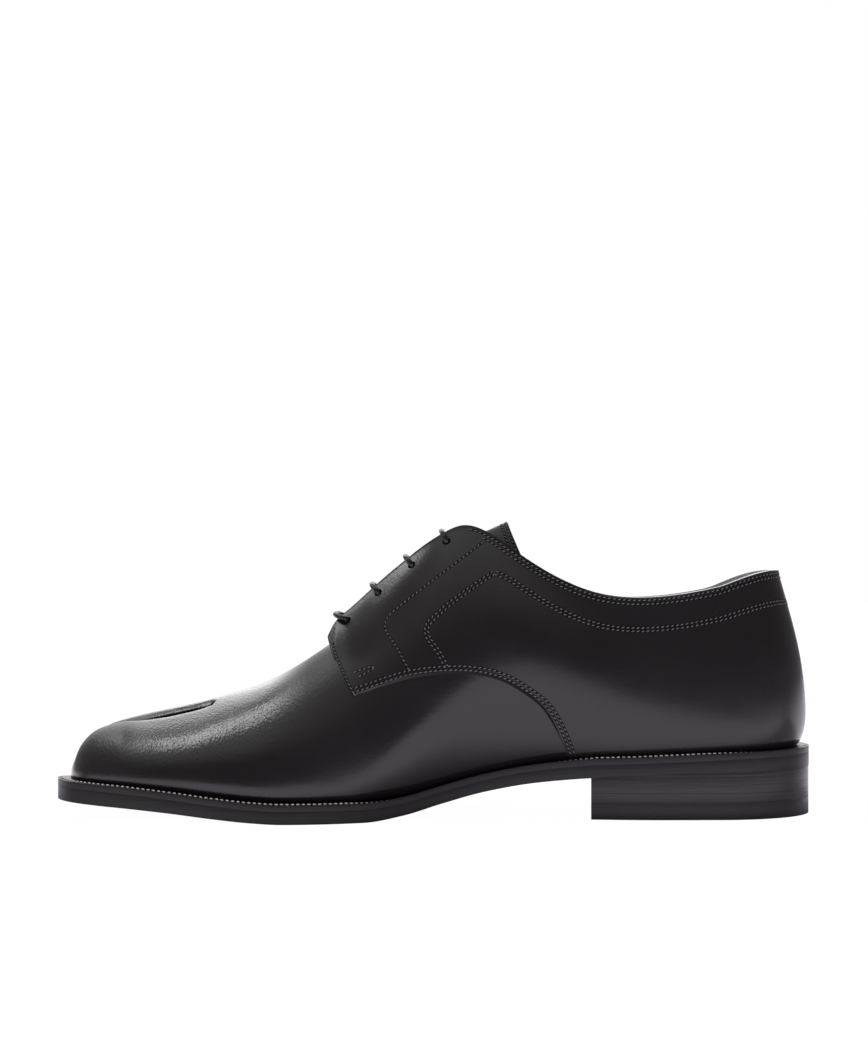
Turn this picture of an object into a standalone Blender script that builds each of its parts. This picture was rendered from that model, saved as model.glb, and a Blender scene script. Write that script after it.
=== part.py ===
"""Tabi lace-up shoe: a black leather derby with a cloven toe, for the right foot.

The frame is in metres with +Z up. The toe points along -X, the big-toe side faces -Y, and the floor is Z = 0.
Tables and sizes are in millimetres. A station is a place along the shoe, equal to X on its straight stretch.
Past TOE_ROOT and HEEL_ROOT it is measured along an arc, so that the rounded ends get evenly spaced sections.
"""

import math

import bmesh
import bpy
import numpy as np
from mathutils import Vector

MM = 0.001
MEDIAL, LATERAL = -1, 1
UP = np.array([0.0, 0.0, 1.0])

# Driving dimensions of the shoe
TOE_ROOT = -112.0
TOE_REACH = 31.5
LATERAL_TOE_REACH = 28.5
HEEL_ROOT = 112.0
HEEL_ARC = 38.0
FEATHER_BACK, SIDE_BACK, COLLAR_BACK = 33.2, 35.2, 24.2
CENTRE_X = -0.7
TOE_END = TOE_ROOT - TOE_REACH * math.pi / 2
HEEL_END = HEEL_ROOT + HEEL_ARC * math.pi / 2

# Thicknesses and clearances
GAP = 0.3
SEAT_GAP = 0.45
VAMP_WALL = 2.0
QUARTER_WALL = 2.2
QUARTER_STEP = 1.3
WELT_THICK = 2.5
INSOLE_THICK = 2.5
TONGUE_THICK = 2.0
TOP_PIECE_THICK = 6.4
INSOLE_INSET = VAMP_WALL + GAP + 0.4
WELT_NOTCH = 0.8

# Heel block
BREAST_X = 61.2
BREAST_HOLLOW = 5.0
BREAST_SLANT = 5.5
HEEL_INSET = 0.15

# Throat, eyelets and lace
THROAT_X = -30.0
EYELET_X = (5.4, -8.2, -21.4, -34.1)
EYELET_DROP = 4.3
EYELET_RADIUS = 1.7
EYELET_PIN = 9.0
LACE_RADIUS = 1.1
LACE_LIFT = 1.4
LOW_BAR_SAG = np.array([-2.0, 0.0, -1.6])

# Cleft between the big toe and the other toes
CLEFT_Y = -2.5
CLEFT_END = -88.0
LIP_DROP = 2.4
CREST_Y = 8.0
NOTCH_END = -97.0
NOTCH_FADE = 26.0

# Curves of the sections: lean of the foot, and how far each end's direction holds, as a share of the span
FOOT_LEAN, FOOT_HOLD = 1.7, 0.36
VAMP_SIDE_HOLD, VAMP_CROWN_HOLD, VAMP_CREST_HOLD = 0.58, 0.55, 0.5
QUARTER_SIDE_HOLD, QUARTER_TOP_HOLD = 0.38, 0.33
LIP_HOLD, LIP_EDGE_HOLD = 0.7, 0.6
SIDE_SHARE = 0.72
WING_BLEND = 16.0
FLAP_EASE = 0.8

# Sole along its length: underside height and outsole thickness
SOLE_COLUMNS = ("x", "bottom", "outsole")
SOLE = (
    (-152.0, 6.9, 5.2),
    (-125.0, 5.8, 5.2),
    (-103.0, 4.0, 4.9),
    (-84.0, 1.9, 4.7),
    (-70.0, 0.6, 4.6),
    (-58.0, 0.0, 4.6),
    (-27.0, 0.0, 4.6),
    (-12.0, 2.0, 4.4),
    (3.0, 6.0, 4.2),
    (20.0, 10.4, 4.2),
    (40.0, 14.0, 4.4),
    (60.0, 16.0, 4.6),
    (80.0, 17.3, 4.1),
    (100.0, 18.0, 4.3),
    (125.0, 18.6, 4.8),
    (152.0, 18.9, 5.0),
)

# Last: half-widths of the feather edge, bulge of the side above it, and height of the fullest point
LAST_COLUMNS = (
    "station", "medial", "lateral", "bulge_medial", "bulge_lateral", "rise_medial", "rise_lateral",
)
LAST = (
    (TOE_END, 11.5, 6.5, 0.0, 0.0, 0.0, 0.0),
    (-154.8, 16.5, 12.0, 0.2, 0.2, 0.8, 0.8),
    (-148.6, 21.5, 17.0, 0.3, 0.3, 1.2, 1.2),
    (-142.6, 26.0, 22.0, 0.4, 0.4, 1.6, 1.6),
    (-135.0, 30.2, 27.3, 0.5, 0.5, 2.0, 2.0),
    (-125.4, 34.3, 32.8, 0.6, 0.6, 2.5, 2.5),
    (-112.0, 38.0, 38.0, 0.8, 0.8, 3.2, 3.4),
    (-100.0, 40.3, 41.0, 1.0, 1.0, 3.9, 4.4),
    (-80.0, 43.5, 43.6, 1.4, 1.5, 5.1, 6.2),
    (-60.0, 44.9, 44.8, 1.9, 2.0, 6.6, 8.5),
    (-40.0, 42.6, 44.0, 2.8, 2.6, 10.0, 12.0),
    (-20.0, 35.8, 42.3, 5.0, 3.6, 18.5, 17.0),
    (0.0, 28.5, 37.8, 8.4, 4.6, 30.0, 23.0),
    (20.0, 25.3, 34.5, 9.4, 5.0, 39.5, 27.0),
    (40.0, 26.0, 33.0, 7.4, 4.4, 39.5, 27.0),
    (60.0, 28.3, 31.5, 4.6, 3.2, 30.5, 24.0),
    (85.0, 30.0, 30.5, 2.8, 2.6, 20.5, 19.0),
    (112.0, 29.5, 29.5, 2.0, 2.0, 14.5, 14.5),
    (HEEL_END, 29.5, 29.5, 2.0, 2.0, 14.5, 14.5),
)

# Welt: how far its edge stands out from the feather edge
WELT_COLUMNS = ("station", "medial", "lateral")
WELT = (
    (TOE_END, 5.0, 4.8),
    (-135.0, 5.2, 5.0),
    (-112.0, 5.2, 5.0),
    (-60.0, 4.9, 5.0),
    (-30.0, 4.0, 4.6),
    (0.0, 2.0, 3.8),
    (25.0, 1.6, 3.2),
    (60.0, 3.0, 3.2),
    (112.0, 3.6, 3.6),
    (HEEL_END, 4.5, 4.5),
)

# Crown: height of the vamp's middle line
CROWN_COLUMNS = ("station", "height")
CROWN = (
    (TOE_END, 14.6),
    (-158.5, 16.6),
    (-154.8, 19.6),
    (-151.7, 22.9),
    (-148.6, 26.0),
    (-143.5, 29.6),
    (-139.7, 31.9),
    (-133.0, 34.6),
    (-126.6, 36.2),
    (-120.2, 37.6),
    (-112.0, 39.5),
    (-103.0, 41.4),
    (-95.0, 43.2),
    (-88.0, 45.0),
    (-80.0, 47.2),
    (-70.0, 50.4),
    (-60.0, 55.0),
    (-50.0, 61.0),
    (-42.0, 66.4),
    (-36.0, 70.4),
    (-30.0, 74.3),
    (-10.0, 88.0),
    (20.0, 108.0),
)

# How far the line of the cleft lies under the crest, which stands CREST_Y to the lateral side of it
CREST_COLUMNS = ("station", "fall")
CREST = (
    (TOE_END, 0.0),
    (-128.0, 0.0),
    (-122.5, 0.1),
    (-118.0, 0.55),
    (-112.0, 0.9),
    (-104.0, 1.05),
    (CLEFT_END, 0.95),
    (-74.0, 0.7),
    (-58.0, 0.25),
    (-44.0, 0.0),
)

# Top edge of the quarters: facing edge up to the peak, then the topline round the heel
TOP_COLUMNS = ("station", "half_width", "height", "lean")
TOP = (
    (-43.1, 13.2, 68.4, 54.0),
    (-40.9, 9.6, 74.3, 54.0),
    (-36.6, 7.3, 78.9, 56.0),
    (-30.0, 7.0, 83.8, 57.0),
    (-20.0, 7.0, 92.3, 57.0),
    (-10.0, 7.0, 100.6, 56.0),
    (0.0, 7.0, 108.2, 53.0),
    (7.0, 7.3, 112.2, 48.0),
    (12.7, 8.2, 113.9, 42.0),
    (18.0, 10.0, 112.6, 38.0),
    (24.0, 12.6, 109.6, 33.0),
    (30.0, 15.2, 105.4, 28.0),
    (36.0, 17.6, 101.3, 24.0),
    (45.0, 20.6, 95.7, 19.0),
    (55.0, 23.0, 90.8, 15.0),
    (64.0, 24.4, 87.8, 12.0),
    (78.0, 25.2, 86.1, 10.0),
    (90.0, 24.8, 86.6, 10.0),
    (100.0, 23.3, 87.9, 11.0),
    (112.0, 20.5, 90.5, 13.0),
    (125.0, 20.5, 93.6, 14.0),
    (140.0, 20.5, 95.3, 15.0),
    (HEEL_END, 20.5, 95.8, 15.0),
)

# How much lower the topline runs on the lateral side
DIP_COLUMNS = ("station", "drop")
DIP = (
    (20.0, 0.0),
    (50.0, 0.8),
    (80.0, 1.3),
    (94.0, 1.3),
    (106.0, 1.1),
    (116.0, 0.7),
    (132.0, 0.4),
    (HEEL_END, 0.0),
)

# Lower edge of each quarter, seen from the side, from its front corner down to the welt
QUARTER_EDGE_COLUMNS = ("x", "height")
QUARTER_EDGE = (
    (-31.3, 47.9),
    (-20.6, 51.8),
    (-11.6, 54.8),
    (-2.7, 56.4),
    (5.8, 57.1),
    (17.8, 56.4),
    (28.4, 53.2),
    (37.5, 47.5),
    (44.5, 40.8),
    (48.9, 32.3),
    (52.5, 23.0),
)
QUARTER_LAP = 8.0
FRONT_SLANT = 11.8
SLANT_END = 55.0

# Cleft: half its gap, where its lip begins, and how far its walls reach down to the sole
CLEFT_COLUMNS = ("station", "half_gap", "lip", "depth")
CLEFT = (
    (TOE_END, 9.0, 9.0, 1.0),
    (-154.8, 6.6, 8.2, 1.0),
    (-148.6, 4.6, 7.6, 1.0),
    (-142.6, 3.2, 7.0, 1.0),
    (-130.0, 2.7, 6.8, 1.0),
    (-110.0, 2.7, 6.6, 1.0),
    (-98.0, 2.6, 6.4, 1.0),
    (-94.0, 2.5, 6.1, 1.0),
    (-91.0, 2.1, 5.7, 0.8),
    (-89.4, 1.5, 5.2, 0.5),
    (CLEFT_END, 0.0, 4.8, 0.0),
)

# Tongue: middle height, half-width and how far its sides fall
TONGUE_COLUMNS = ("x", "height", "half_width", "fall")
TONGUE = (
    (-36.0, 67.2, 15.0, 4.5),
    (-30.0, 71.0, 17.0, 7.0),
    (-20.0, 82.0, 20.0, 15.0),
    (-10.0, 92.0, 22.0, 19.0),
    (0.0, 101.0, 22.5, 21.0),
    (10.0, 107.2, 21.5, 22.0),
    (20.0, 111.8, 19.0, 22.0),
    (29.2, 115.8, 17.0, 19.0),
)
TONGUE_TIP_SWEEP = 7.7
TONGUE_SWEEP_START, TONGUE_SWEEP_RUN = 5.0, 24.0
TONGUE_ARCH = 1.8

# Stations of the sections
VAMP_STATIONS = (
    TOE_END, -158.0, -154.8, -151.0, -147.0, -142.0, -136.0, -130.0, -123.0, -116.0, -109.0, -103.0,
    -98.0, -94.0, -91.0, CLEFT_END, -82.0, -75.0, -67.0, -59.0, -51.0, -43.0, -36.0, THROAT_X,
)
WING_STATIONS = (THROAT_X, -23.0, -15.0, -7.0, 2.0, 11.0, 20.0, 29.0, 37.0, 44.0, 49.0, 52.0)
QUARTER_STATIONS = (
    QUARTER_EDGE[0][0], -29.2, -25.0, -17.0, -9.0, 0.0, 9.0, 18.0, 27.0, 36.0, 43.7, 50.0, 56.0, 66.0,
    78.0, 90.0, 101.0, 112.0, 122.0, 132.0, 142.0, 152.0, 162.0, HEEL_END,
)
SOLE_STATIONS = (
    TOE_END, -157.0, -151.0, -144.0, -136.0, -127.0, -117.0, -107.0, -97.0, -90.0, -84.0, -76.0, -68.0,
    -47.0, -27.0, -20.0, -12.0, -5.0, 3.0, 20.0, 40.0, BREAST_X, 80.0, 100.0, 112.0, 124.0, 136.0, 148.0,
    160.0, HEEL_END,
)
LOWER_COLUMNS, UPPER_COLUMNS, LIP_COLUMNS, WALL_COLUMNS = 6, 4, 3, 2
QUARTER_COLUMNS = 7
SOLE_COLUMNS_ACROSS = 4
TONGUE_ROWS, TONGUE_COLUMNS_ACROSS = 13, 10
WELD = 0.02


def column(table, names, name):
    """One named column of a table."""
    return np.array([row[names.index(name)] for row in table], float)


def smooth(table, names, name, at):
    """A table's column read on a natural cubic curve through its rows."""
    x, y = column(table, names, names[0]), column(table, names, name)
    step = np.diff(x)
    size = len(x)
    matrix, right = np.eye(size), np.zeros(size)
    for i in range(1, size - 1):
        matrix[i, i - 1:i + 2] = step[i - 1], 2 * (step[i - 1] + step[i]), step[i]
        right[i] = 6 * ((y[i + 1] - y[i]) / step[i] - (y[i] - y[i - 1]) / step[i - 1])
    bend = np.linalg.solve(matrix, right)
    at = min(max(at, x[0]), x[-1])
    i = int(np.clip(np.searchsorted(x, at) - 1, 0, size - 2))
    a, b = (x[i + 1] - at) / step[i], (at - x[i]) / step[i]
    curve = ((a**3 - a) * bend[i] + (b**3 - b) * bend[i + 1]) * step[i] ** 2 / 6
    return a * y[i] + b * y[i + 1] + curve


def steady(table, names, name, at):
    """A table's column read on a curve that never overshoots its rows, so flat stretches stay flat."""
    x, y = column(table, names, names[0]), column(table, names, name)
    step, rise = np.diff(x), np.diff(y)
    slope = rise / step
    tangent = np.zeros(len(x))
    for i in range(1, len(x) - 1):
        if slope[i - 1] * slope[i] > 0:
            tangent[i] = 2 * slope[i - 1] * slope[i] / (slope[i - 1] + slope[i])
    at = min(max(at, x[0]), x[-1])
    i = int(np.clip(np.searchsorted(x, at) - 1, 0, len(x) - 2))
    t = (at - x[i]) / step[i]
    values = (1 + 2 * t) * (1 - t) ** 2 * y[i] + t * t * (3 - 2 * t) * y[i + 1]
    slopes = t * (1 - t) ** 2 * tangent[i] - t * t * (1 - t) * tangent[i + 1]
    return values + slopes * step[i]


def soft_step(value):
    """0 below 0, 1 above 1 and a smooth rise between."""
    t = min(max(value, 0.0), 1.0)
    return t * t * (3 - 2 * t)


def sole_bottom(x):
    return steady(SOLE, SOLE_COLUMNS, "bottom", x)


def outsole_top(x):
    return sole_bottom(x) + steady(SOLE, SOLE_COLUMNS, "outsole", x)


def welt_top(x):
    return outsole_top(x) + GAP + WELT_THICK


def along(side, station, heel_reach):
    """X of a station and the share of its half-width, for an edge heel_reach behind HEEL_ROOT at its end."""
    if station < TOE_ROOT:
        reach = TOE_REACH if side == MEDIAL else LATERAL_TOE_REACH
        return TOE_ROOT - reach * math.sin((TOE_ROOT - station) / TOE_REACH), 1.0
    if station > HEEL_ROOT:
        turn = (station - HEEL_ROOT) / HEEL_ARC
        return HEEL_ROOT + heel_reach * math.sin(turn), math.cos(turn)
    return station, 1.0


def outward(side, station):
    """Level direction that points out of the shoe at a station."""
    if station <= HEEL_ROOT:
        return np.array([0.0, side, 0.0])
    turn = (station - HEEL_ROOT) / HEEL_ARC
    return np.array([math.sin(turn), side * math.cos(turn), 0.0])


def feather(side, station):
    """Point of the upper's bottom edge, on the welt."""
    x, share = along(side, station, FEATHER_BACK)
    name = "medial" if side == MEDIAL else "lateral"
    return np.array([x, side * share * smooth(LAST, LAST_COLUMNS, name, station), welt_top(x) + SEAT_GAP])


def fullest(side, station):
    """Point where the side of the upper stands out furthest."""
    x, share = along(side, station, SIDE_BACK)
    name = "medial" if side == MEDIAL else "lateral"
    half = smooth(LAST, LAST_COLUMNS, name, station) + smooth(LAST, LAST_COLUMNS, "bulge_" + name, station)
    rise = smooth(LAST, LAST_COLUMNS, "rise_" + name, station)
    return np.array([x, side * share * half, feather(side, station)[2] + rise])


def top_edge(side, station):
    """Point of the facing edge or the topline."""
    x, share = along(side, station, COLLAR_BACK)
    height = smooth(TOP, TOP_COLUMNS, "height", station)
    if side == LATERAL:
        height -= steady(DIP, DIP_COLUMNS, "drop", station)
    return np.array([x, side * share * smooth(TOP, TOP_COLUMNS, "half_width", station), height])


def bezier(start, start_handle, end_handle, end, count):
    """Points of a cubic curve, both ends included."""
    t = np.linspace(0, 1, count)[:, None]
    s = 1 - t
    return s**3 * start + 3 * s * s * t * start_handle + 3 * s * t * t * end_handle + t**3 * end


def lower_rib(side, station, count=16):
    """Curve from the feather edge up to the fullest point of the side."""
    foot, hip = feather(side, station), fullest(side, station)
    reach = hip - foot
    hold = np.linalg.norm(reach) * FOOT_HOLD
    lean = math.atan2(FOOT_LEAN * math.hypot(reach[0], reach[1]), max(reach[2], 1e-6))
    start = UP * math.cos(lean) + outward(side, station) * math.sin(lean)
    return bezier(foot, foot + start * hold, hip - UP * hold, hip, count)


def dome_rib(side, station):
    """Curve of the vamp from the feather edge over to the shoe's middle line, which lies beside its crest."""
    hip = fullest(side, station)
    middle, fall = middle_y(hip[0]), steady(CREST, CREST_COLUMNS, "fall", station)
    span = abs(middle - hip[1])
    inward = np.array([0.0, -side, 0.0])
    end = np.array([hip[0], middle, smooth(CROWN, CROWN_COLUMNS, "height", station) - fall])
    if side == MEDIAL:
        climb = inward + UP * 2 * fall / CREST_Y
        lead = hip + UP * (end[2] - hip[2]) * VAMP_SIDE_HOLD
        over = bezier(hip, lead, end - climb * span * VAMP_CROWN_HOLD, end, 40)
        return np.vstack([lower_rib(side, station), over[1:]])
    reach = min(CREST_Y, 0.3 * span)
    crest = end - inward * reach + UP * fall
    lead = hip + UP * (crest[2] - hip[2]) * VAMP_SIDE_HOLD
    over = bezier(hip, lead, crest - inward * (span - reach) * VAMP_CREST_HOLD, crest, 34)
    down = [crest + inward * reach * t - UP * fall * t * t for t in np.linspace(0, 1, 7)[1:]]
    return np.vstack([lower_rib(side, station), over[1:], *down])


def quarter_rib(side, station):
    """Curve of the quarter from the feather edge up to its top edge."""
    hip, top = fullest(side, station), top_edge(side, station)
    chord = np.linalg.norm(top - hip)
    lean = math.radians(smooth(TOP, TOP_COLUMNS, "lean", station))
    end = UP * math.cos(lean) - outward(side, station) * math.sin(lean)
    over = bezier(hip, hip + UP * chord * QUARTER_SIDE_HOLD, top - end * chord * QUARTER_TOP_HOLD, top, 40)
    return np.vstack([lower_rib(side, station), over[1:]])


def middle_y(x):
    """Y of the vamp's middle line, which runs into the cleft."""
    return CLEFT_Y * soft_step((THROAT_X - x) / (THROAT_X - CLEFT_END))


def lengths(points):
    """Distance run along a curve at each of its points."""
    return np.concatenate([[0.0], np.cumsum(np.linalg.norm(np.diff(points, axis=0), axis=1))])


def spread(points, count):
    """A curve resampled to evenly spaced points."""
    run = lengths(points)
    places = np.linspace(0, run[-1], count)
    return np.stack([np.interp(places, run, points[:, k]) for k in range(3)], axis=1)


def at_height(rib, height):
    """Point of a rib at a height."""
    return np.array([np.interp(height, rib[:, 2], rib[:, k]) for k in range(3)])


def below(rib, height):
    """The part of a rib under a height."""
    return np.vstack([rib[rib[:, 2] < height], at_height(rib, height)])


def quarter_edge(x):
    return smooth(QUARTER_EDGE, QUARTER_EDGE_COLUMNS, "height", x)


def vamp_rib(side, station):
    """Section of the vamp: up the side, over the crown, and down into the cleft ahead of CLEFT_END."""
    dome = dome_rib(side, station)
    half_gap, lip, depth = (steady(CLEFT, CLEFT_COLUMNS, name, station) for name in CLEFT_COLUMNS[1:])
    inside = np.abs(dome[:, 1] - CLEFT_Y) <= lip
    cut_at = max(int(np.argmax(inside)) if inside.any() else len(dome) - 1, 2)
    outer = dome[:cut_at]
    last = outer[-1]
    split = outer[0][2] + SIDE_SHARE * (outer[:, 2].max() - outer[0][2])
    half = min(max(int(np.argmax(outer[:, 2] >= split)), 1), len(outer) - 2)
    lower, upper = spread(outer[:half + 1], LOWER_COLUMNS + 1), spread(outer[half:], UPPER_COLUMNS + 1)
    if station >= CLEFT_END:
        inner = spread(dome[cut_at - 1:], LIP_COLUMNS + WALL_COLUMNS + 1)
        return np.vstack([lower, upper[1:], inner[1:]])
    crown = dome[-1][2]
    fall = min(depth, 1.0) * (crown - feather(side, station)[2])
    drop = min(LIP_DROP, 0.5 * fall)
    across = np.array([0.0, CLEFT_Y + side * half_gap - last[1], 0.0])
    climb = (last[2] - outer[-2][2]) / max(abs(last[1] - outer[-2][1]), 1e-6)
    across[2] = climb * abs(across[1])
    edge = last + across - UP * drop
    floor_gap = 0.85 * half_gap if depth > 0.99 else 0.0
    foot = np.array([last[0], CLEFT_Y + side * floor_gap, crown - fall])
    if half_gap >= lip:
        foot = edge = last
        across, drop = np.zeros(3), 0.0
    roll = bezier(last, last + across * LIP_HOLD, edge + UP * LIP_EDGE_HOLD * drop, edge, LIP_COLUMNS + 1)
    wall = np.linspace(edge, foot, WALL_COLUMNS + 1)
    return np.vstack([lower, upper[1:], roll[1:], wall[1:]])


def wing_rib(side, station):
    """Section of the vamp's wing, which runs back under the quarter."""
    share = soft_step((station - THROAT_X) / WING_BLEND)
    dome, quarter = dome_rib(side, station), quarter_rib(side, station)
    height = max(quarter_edge(station) + QUARTER_LAP, feather(side, station)[2] + QUARTER_LAP)
    low = spread(below(dome, height), LOWER_COLUMNS + 1)
    high = spread(below(quarter, height), LOWER_COLUMNS + 1)
    return low * (1 - share) + high * share


def quarter_row(side, station):
    """Slanted section of the quarter, from its lower edge to its top edge."""
    slant = FRONT_SLANT * max(0.0, (SLANT_END - station) / (SLANT_END - QUARTER_EDGE[0][0]))
    top_station = station - slant
    foot = feather(side, station)[2]
    low = max(foot, quarter_edge(station)) if station < QUARTER_EDGE[-1][0] else foot
    high = top_edge(side, top_station)[2]
    shares = np.linspace(0, 1, QUARTER_COLUMNS + 1)
    return np.array([on_vamp(side, station - slant * t, low + (high - low) * t) for t in shares])


def on_vamp(side, station, height):
    """Point of the quarter, pushed out where the vamp under its front stands out further."""
    point = at_height(quarter_rib(side, station), height)
    share = 1 - soft_step((station - THROAT_X) / WING_BLEND)
    dome = dome_rib(side, station)
    if not share or height > dome[-1][2] - 0.5:
        return point
    ahead = (at_height(dome, height)[1] - point[1]) * side
    push = (ahead + math.hypot(ahead, FLAP_EASE)) / 2
    return point + np.array([0.0, side * push * share, 0.0])


def plan_normals(points):
    """Level directions that point out of an outline which runs from heel to toe on the medial side."""
    run = np.gradient(points[:, :2], axis=0)
    normal = np.stack([-run[:, 1], run[:, 0]], axis=1)
    return normal / np.maximum(np.linalg.norm(normal, axis=1), 1e-9)[:, None]


def plan_edges(side, stations, reach, notch, notch_end):
    """Outer and inner edges of a flat piece of the bottom, in plan.

    The outer edge stands reach(station) out from the feather edge. The inner edge is the shoe's middle line
    behind notch_end and, ahead of it, stands out by notch from the wall of the cleft.
    """
    outer = np.array([feather(side, s)[:2] for s in stations])
    toe = [s for s, point in zip(stations, outer) if point[0] < notch_end]
    wall = [(p[0], CLEFT_Y + side * steady(CLEFT, CLEFT_COLUMNS, "half_gap", s)) for s, p in zip(toe, outer)]
    past_heel = outer[-2] * (1, -1)
    ring = np.vstack([past_heel, outer[::-1], *wall[1:]])
    normal = (plan_normals(ring) * -side)[1:]
    count = len(stations)
    edge_reach = np.array([reach(s) for s in stations])
    outer = outer + normal[:count][::-1] * edge_reach[:, None]
    middle = [along(side, s, FEATHER_BACK + edge_reach[-1])[0] for s in stations]
    inner = [np.array([x, middle_y(x)]) for x in middle]
    for i, (station, point) in enumerate(zip(toe, wall)):
        fade = soft_step((station - TOE_END) / NOTCH_FADE)
        push = edge_reach[0] * (1 - fade) + notch * fade
        inner[i] = outer[0] if i == 0 else point + normal[count + i - 1] * push
    return outer, np.array(inner)


def collection(name):
    made = bpy.data.collections.new(name)
    bpy.context.scene.collection.children.link(made)
    return made


def finish(name, colour, roughness, specular=0.5):
    """A plain surface for one sub-part."""
    made = bpy.data.materials.new(name)
    made.use_nodes = True
    shader = made.node_tree.nodes["Principled BSDF"]
    shader.inputs["Base Color"].default_value = (*colour, 1.0)
    shader.inputs["Roughness"].default_value = roughness
    shader.inputs["Metallic"].default_value = 0.0
    shader.inputs["Specular IOR Level"].default_value = specular
    return made


def add_object(name, bm, group, material):
    """A mesh object with smooth shading, from a bmesh in millimetres."""
    bmesh.ops.scale(bm, vec=(MM, MM, MM), verts=bm.verts)
    mesh = bpy.data.meshes.new(name)
    bm.to_mesh(mesh)
    bm.free()
    mesh.shade_smooth()
    mesh.set_sharp_from_angle(angle=math.radians(40))
    made = bpy.data.objects.new(name, mesh)
    group.objects.link(made)
    if material:
        mesh.materials.append(material)
    return made


def loft(bm, rows, flip):
    """Faces between sections that follow each other."""
    made = [[bm.verts.new(point) for point in row] for row in rows]
    for near, far in zip(made, made[1:]):
        for a, b, c, d in zip(near, near[1:], far[1:], far):
            bm.faces.new((d, c, b, a) if flip else (a, b, c, d))


def shell(name, bm, group, thick, offset):
    """A hollow wall from an open surface, with its bottom edge trimmed level on the welt."""
    bmesh.ops.remove_doubles(bm, verts=bm.verts, dist=WELD)
    made = add_object(name, bm, group, None)
    wall = made.modifiers.new("wall", "SOLIDIFY")
    wall.thickness = thick * MM
    wall.offset = offset
    made.data = as_mesh(made)
    made.modifiers.clear()
    for vertex in made.data.vertices:
        level = (welt_top(vertex.co.x / MM) + SEAT_GAP) * MM
        vertex.co.z = max(vertex.co.z, level)
    return made


def as_mesh(obj):
    """A new mesh of the object as its modifiers leave it."""
    graph = bpy.context.evaluated_depsgraph_get()
    return bpy.data.meshes.new_from_object(obj.evaluated_get(graph))


def cut(obj, other, operation):
    """A Boolean of two objects, with the second kept as a hidden tool."""
    step = obj.modifiers.new(operation.lower(), "BOOLEAN")
    step.operation = operation
    step.solver = "EXACT"
    step.object = other
    other.hide_render = True
    other.display_type = "WIRE"


def vamp(group):
    """Front of the upper: two halves that meet along the crown and round the end of the cleft."""
    bm = bmesh.new()
    for side in (MEDIAL, LATERAL):
        full = [vamp_rib(side, s) for s in VAMP_STATIONS]
        wings = [wing_rib(side, s) for s in WING_STATIONS]
        wings[0] = full[-1][:LOWER_COLUMNS + 1]
        loft(bm, full, side == MEDIAL)
        loft(bm, wings, side == MEDIAL)
    return shell("vamp_wall", bm, group, VAMP_WALL, -1.0)


def quarters(group):
    """Back of the upper: both quarters, one wall round the heel, standing a step proud of the vamp."""
    bm = bmesh.new()
    for side in (MEDIAL, LATERAL):
        loft(bm, [quarter_row(side, s) for s in QUARTER_STATIONS], side == MEDIAL)
    centred = (2 * QUARTER_STEP - QUARTER_WALL) / QUARTER_WALL
    return shell("quarter_wall", bm, group, QUARTER_WALL, centred)


def facing_frame(side, x):
    """Eyelet place on the facing, the nearest place on the facing's edge, and the outward normal there."""
    height = top_edge(side, x)[2] - EYELET_DROP
    place, edge = at_height(quarter_rib(side, x), height), top_edge(side, x)
    run = top_edge(side, x + 2) - top_edge(side, x - 2)
    run = run / np.linalg.norm(run)
    edge = edge + run * np.dot(place - edge, run)
    normal = np.cross(run, edge - place) * -side
    return place, edge, normal / np.linalg.norm(normal)


def eyelet_cutters(group):
    """Pins that punch the eyelets through both facings."""
    bm = bmesh.new()
    for side in (MEDIAL, LATERAL):
        for x in EYELET_X:
            place, _, normal = facing_frame(side, x)
            made = bmesh.ops.create_cone(
                bm, cap_ends=True, segments=10, radius1=EYELET_RADIUS, radius2=EYELET_RADIUS, depth=EYELET_PIN
            )["verts"]
            turn = Vector(normal).to_track_quat("Z", "Y").to_matrix()
            bmesh.ops.rotate(bm, verts=made, matrix=turn)
            bmesh.ops.translate(bm, verts=made, vec=place)
    return add_object("eyelet_punch", bm, group, None)


def upper(parts, tools, material):
    """Vamp and quarters joined as one hollow wall, open at the collar, the throat and underneath."""
    back = quarters(tools)
    made = vamp(parts)
    made.name = made.data.name = "upper"
    made.data.materials.append(material)
    cut(made, back, "UNION")
    cut(made, eyelet_cutters(tools), "DIFFERENCE")
    return made


def tongue(parts, material):
    """Arched strip under the facings, its top edge standing above them."""
    bm = bmesh.new()
    rows = []
    across = np.linspace(-1, 1, TONGUE_COLUMNS_ACROSS + 1)
    for x in np.linspace(TONGUE[0][0], TONGUE[-1][0], TONGUE_ROWS + 1):
        height, half, fall = (smooth(TONGUE, TONGUE_COLUMNS, name, x) for name in TONGUE_COLUMNS[1:])
        sweep = TONGUE_TIP_SWEEP * soft_step((x - TONGUE_SWEEP_START) / TONGUE_SWEEP_RUN)
        rows.append([(x + sweep * t * t, half * t, height - fall * abs(t) ** TONGUE_ARCH) for t in across])
    loft(bm, rows, True)
    made = add_object("tongue", bm, parts, material)
    wall = made.modifiers.new("wall", "SOLIDIFY")
    wall.thickness = TONGUE_THICK * MM
    wall.offset = -1.0
    return made


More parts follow.
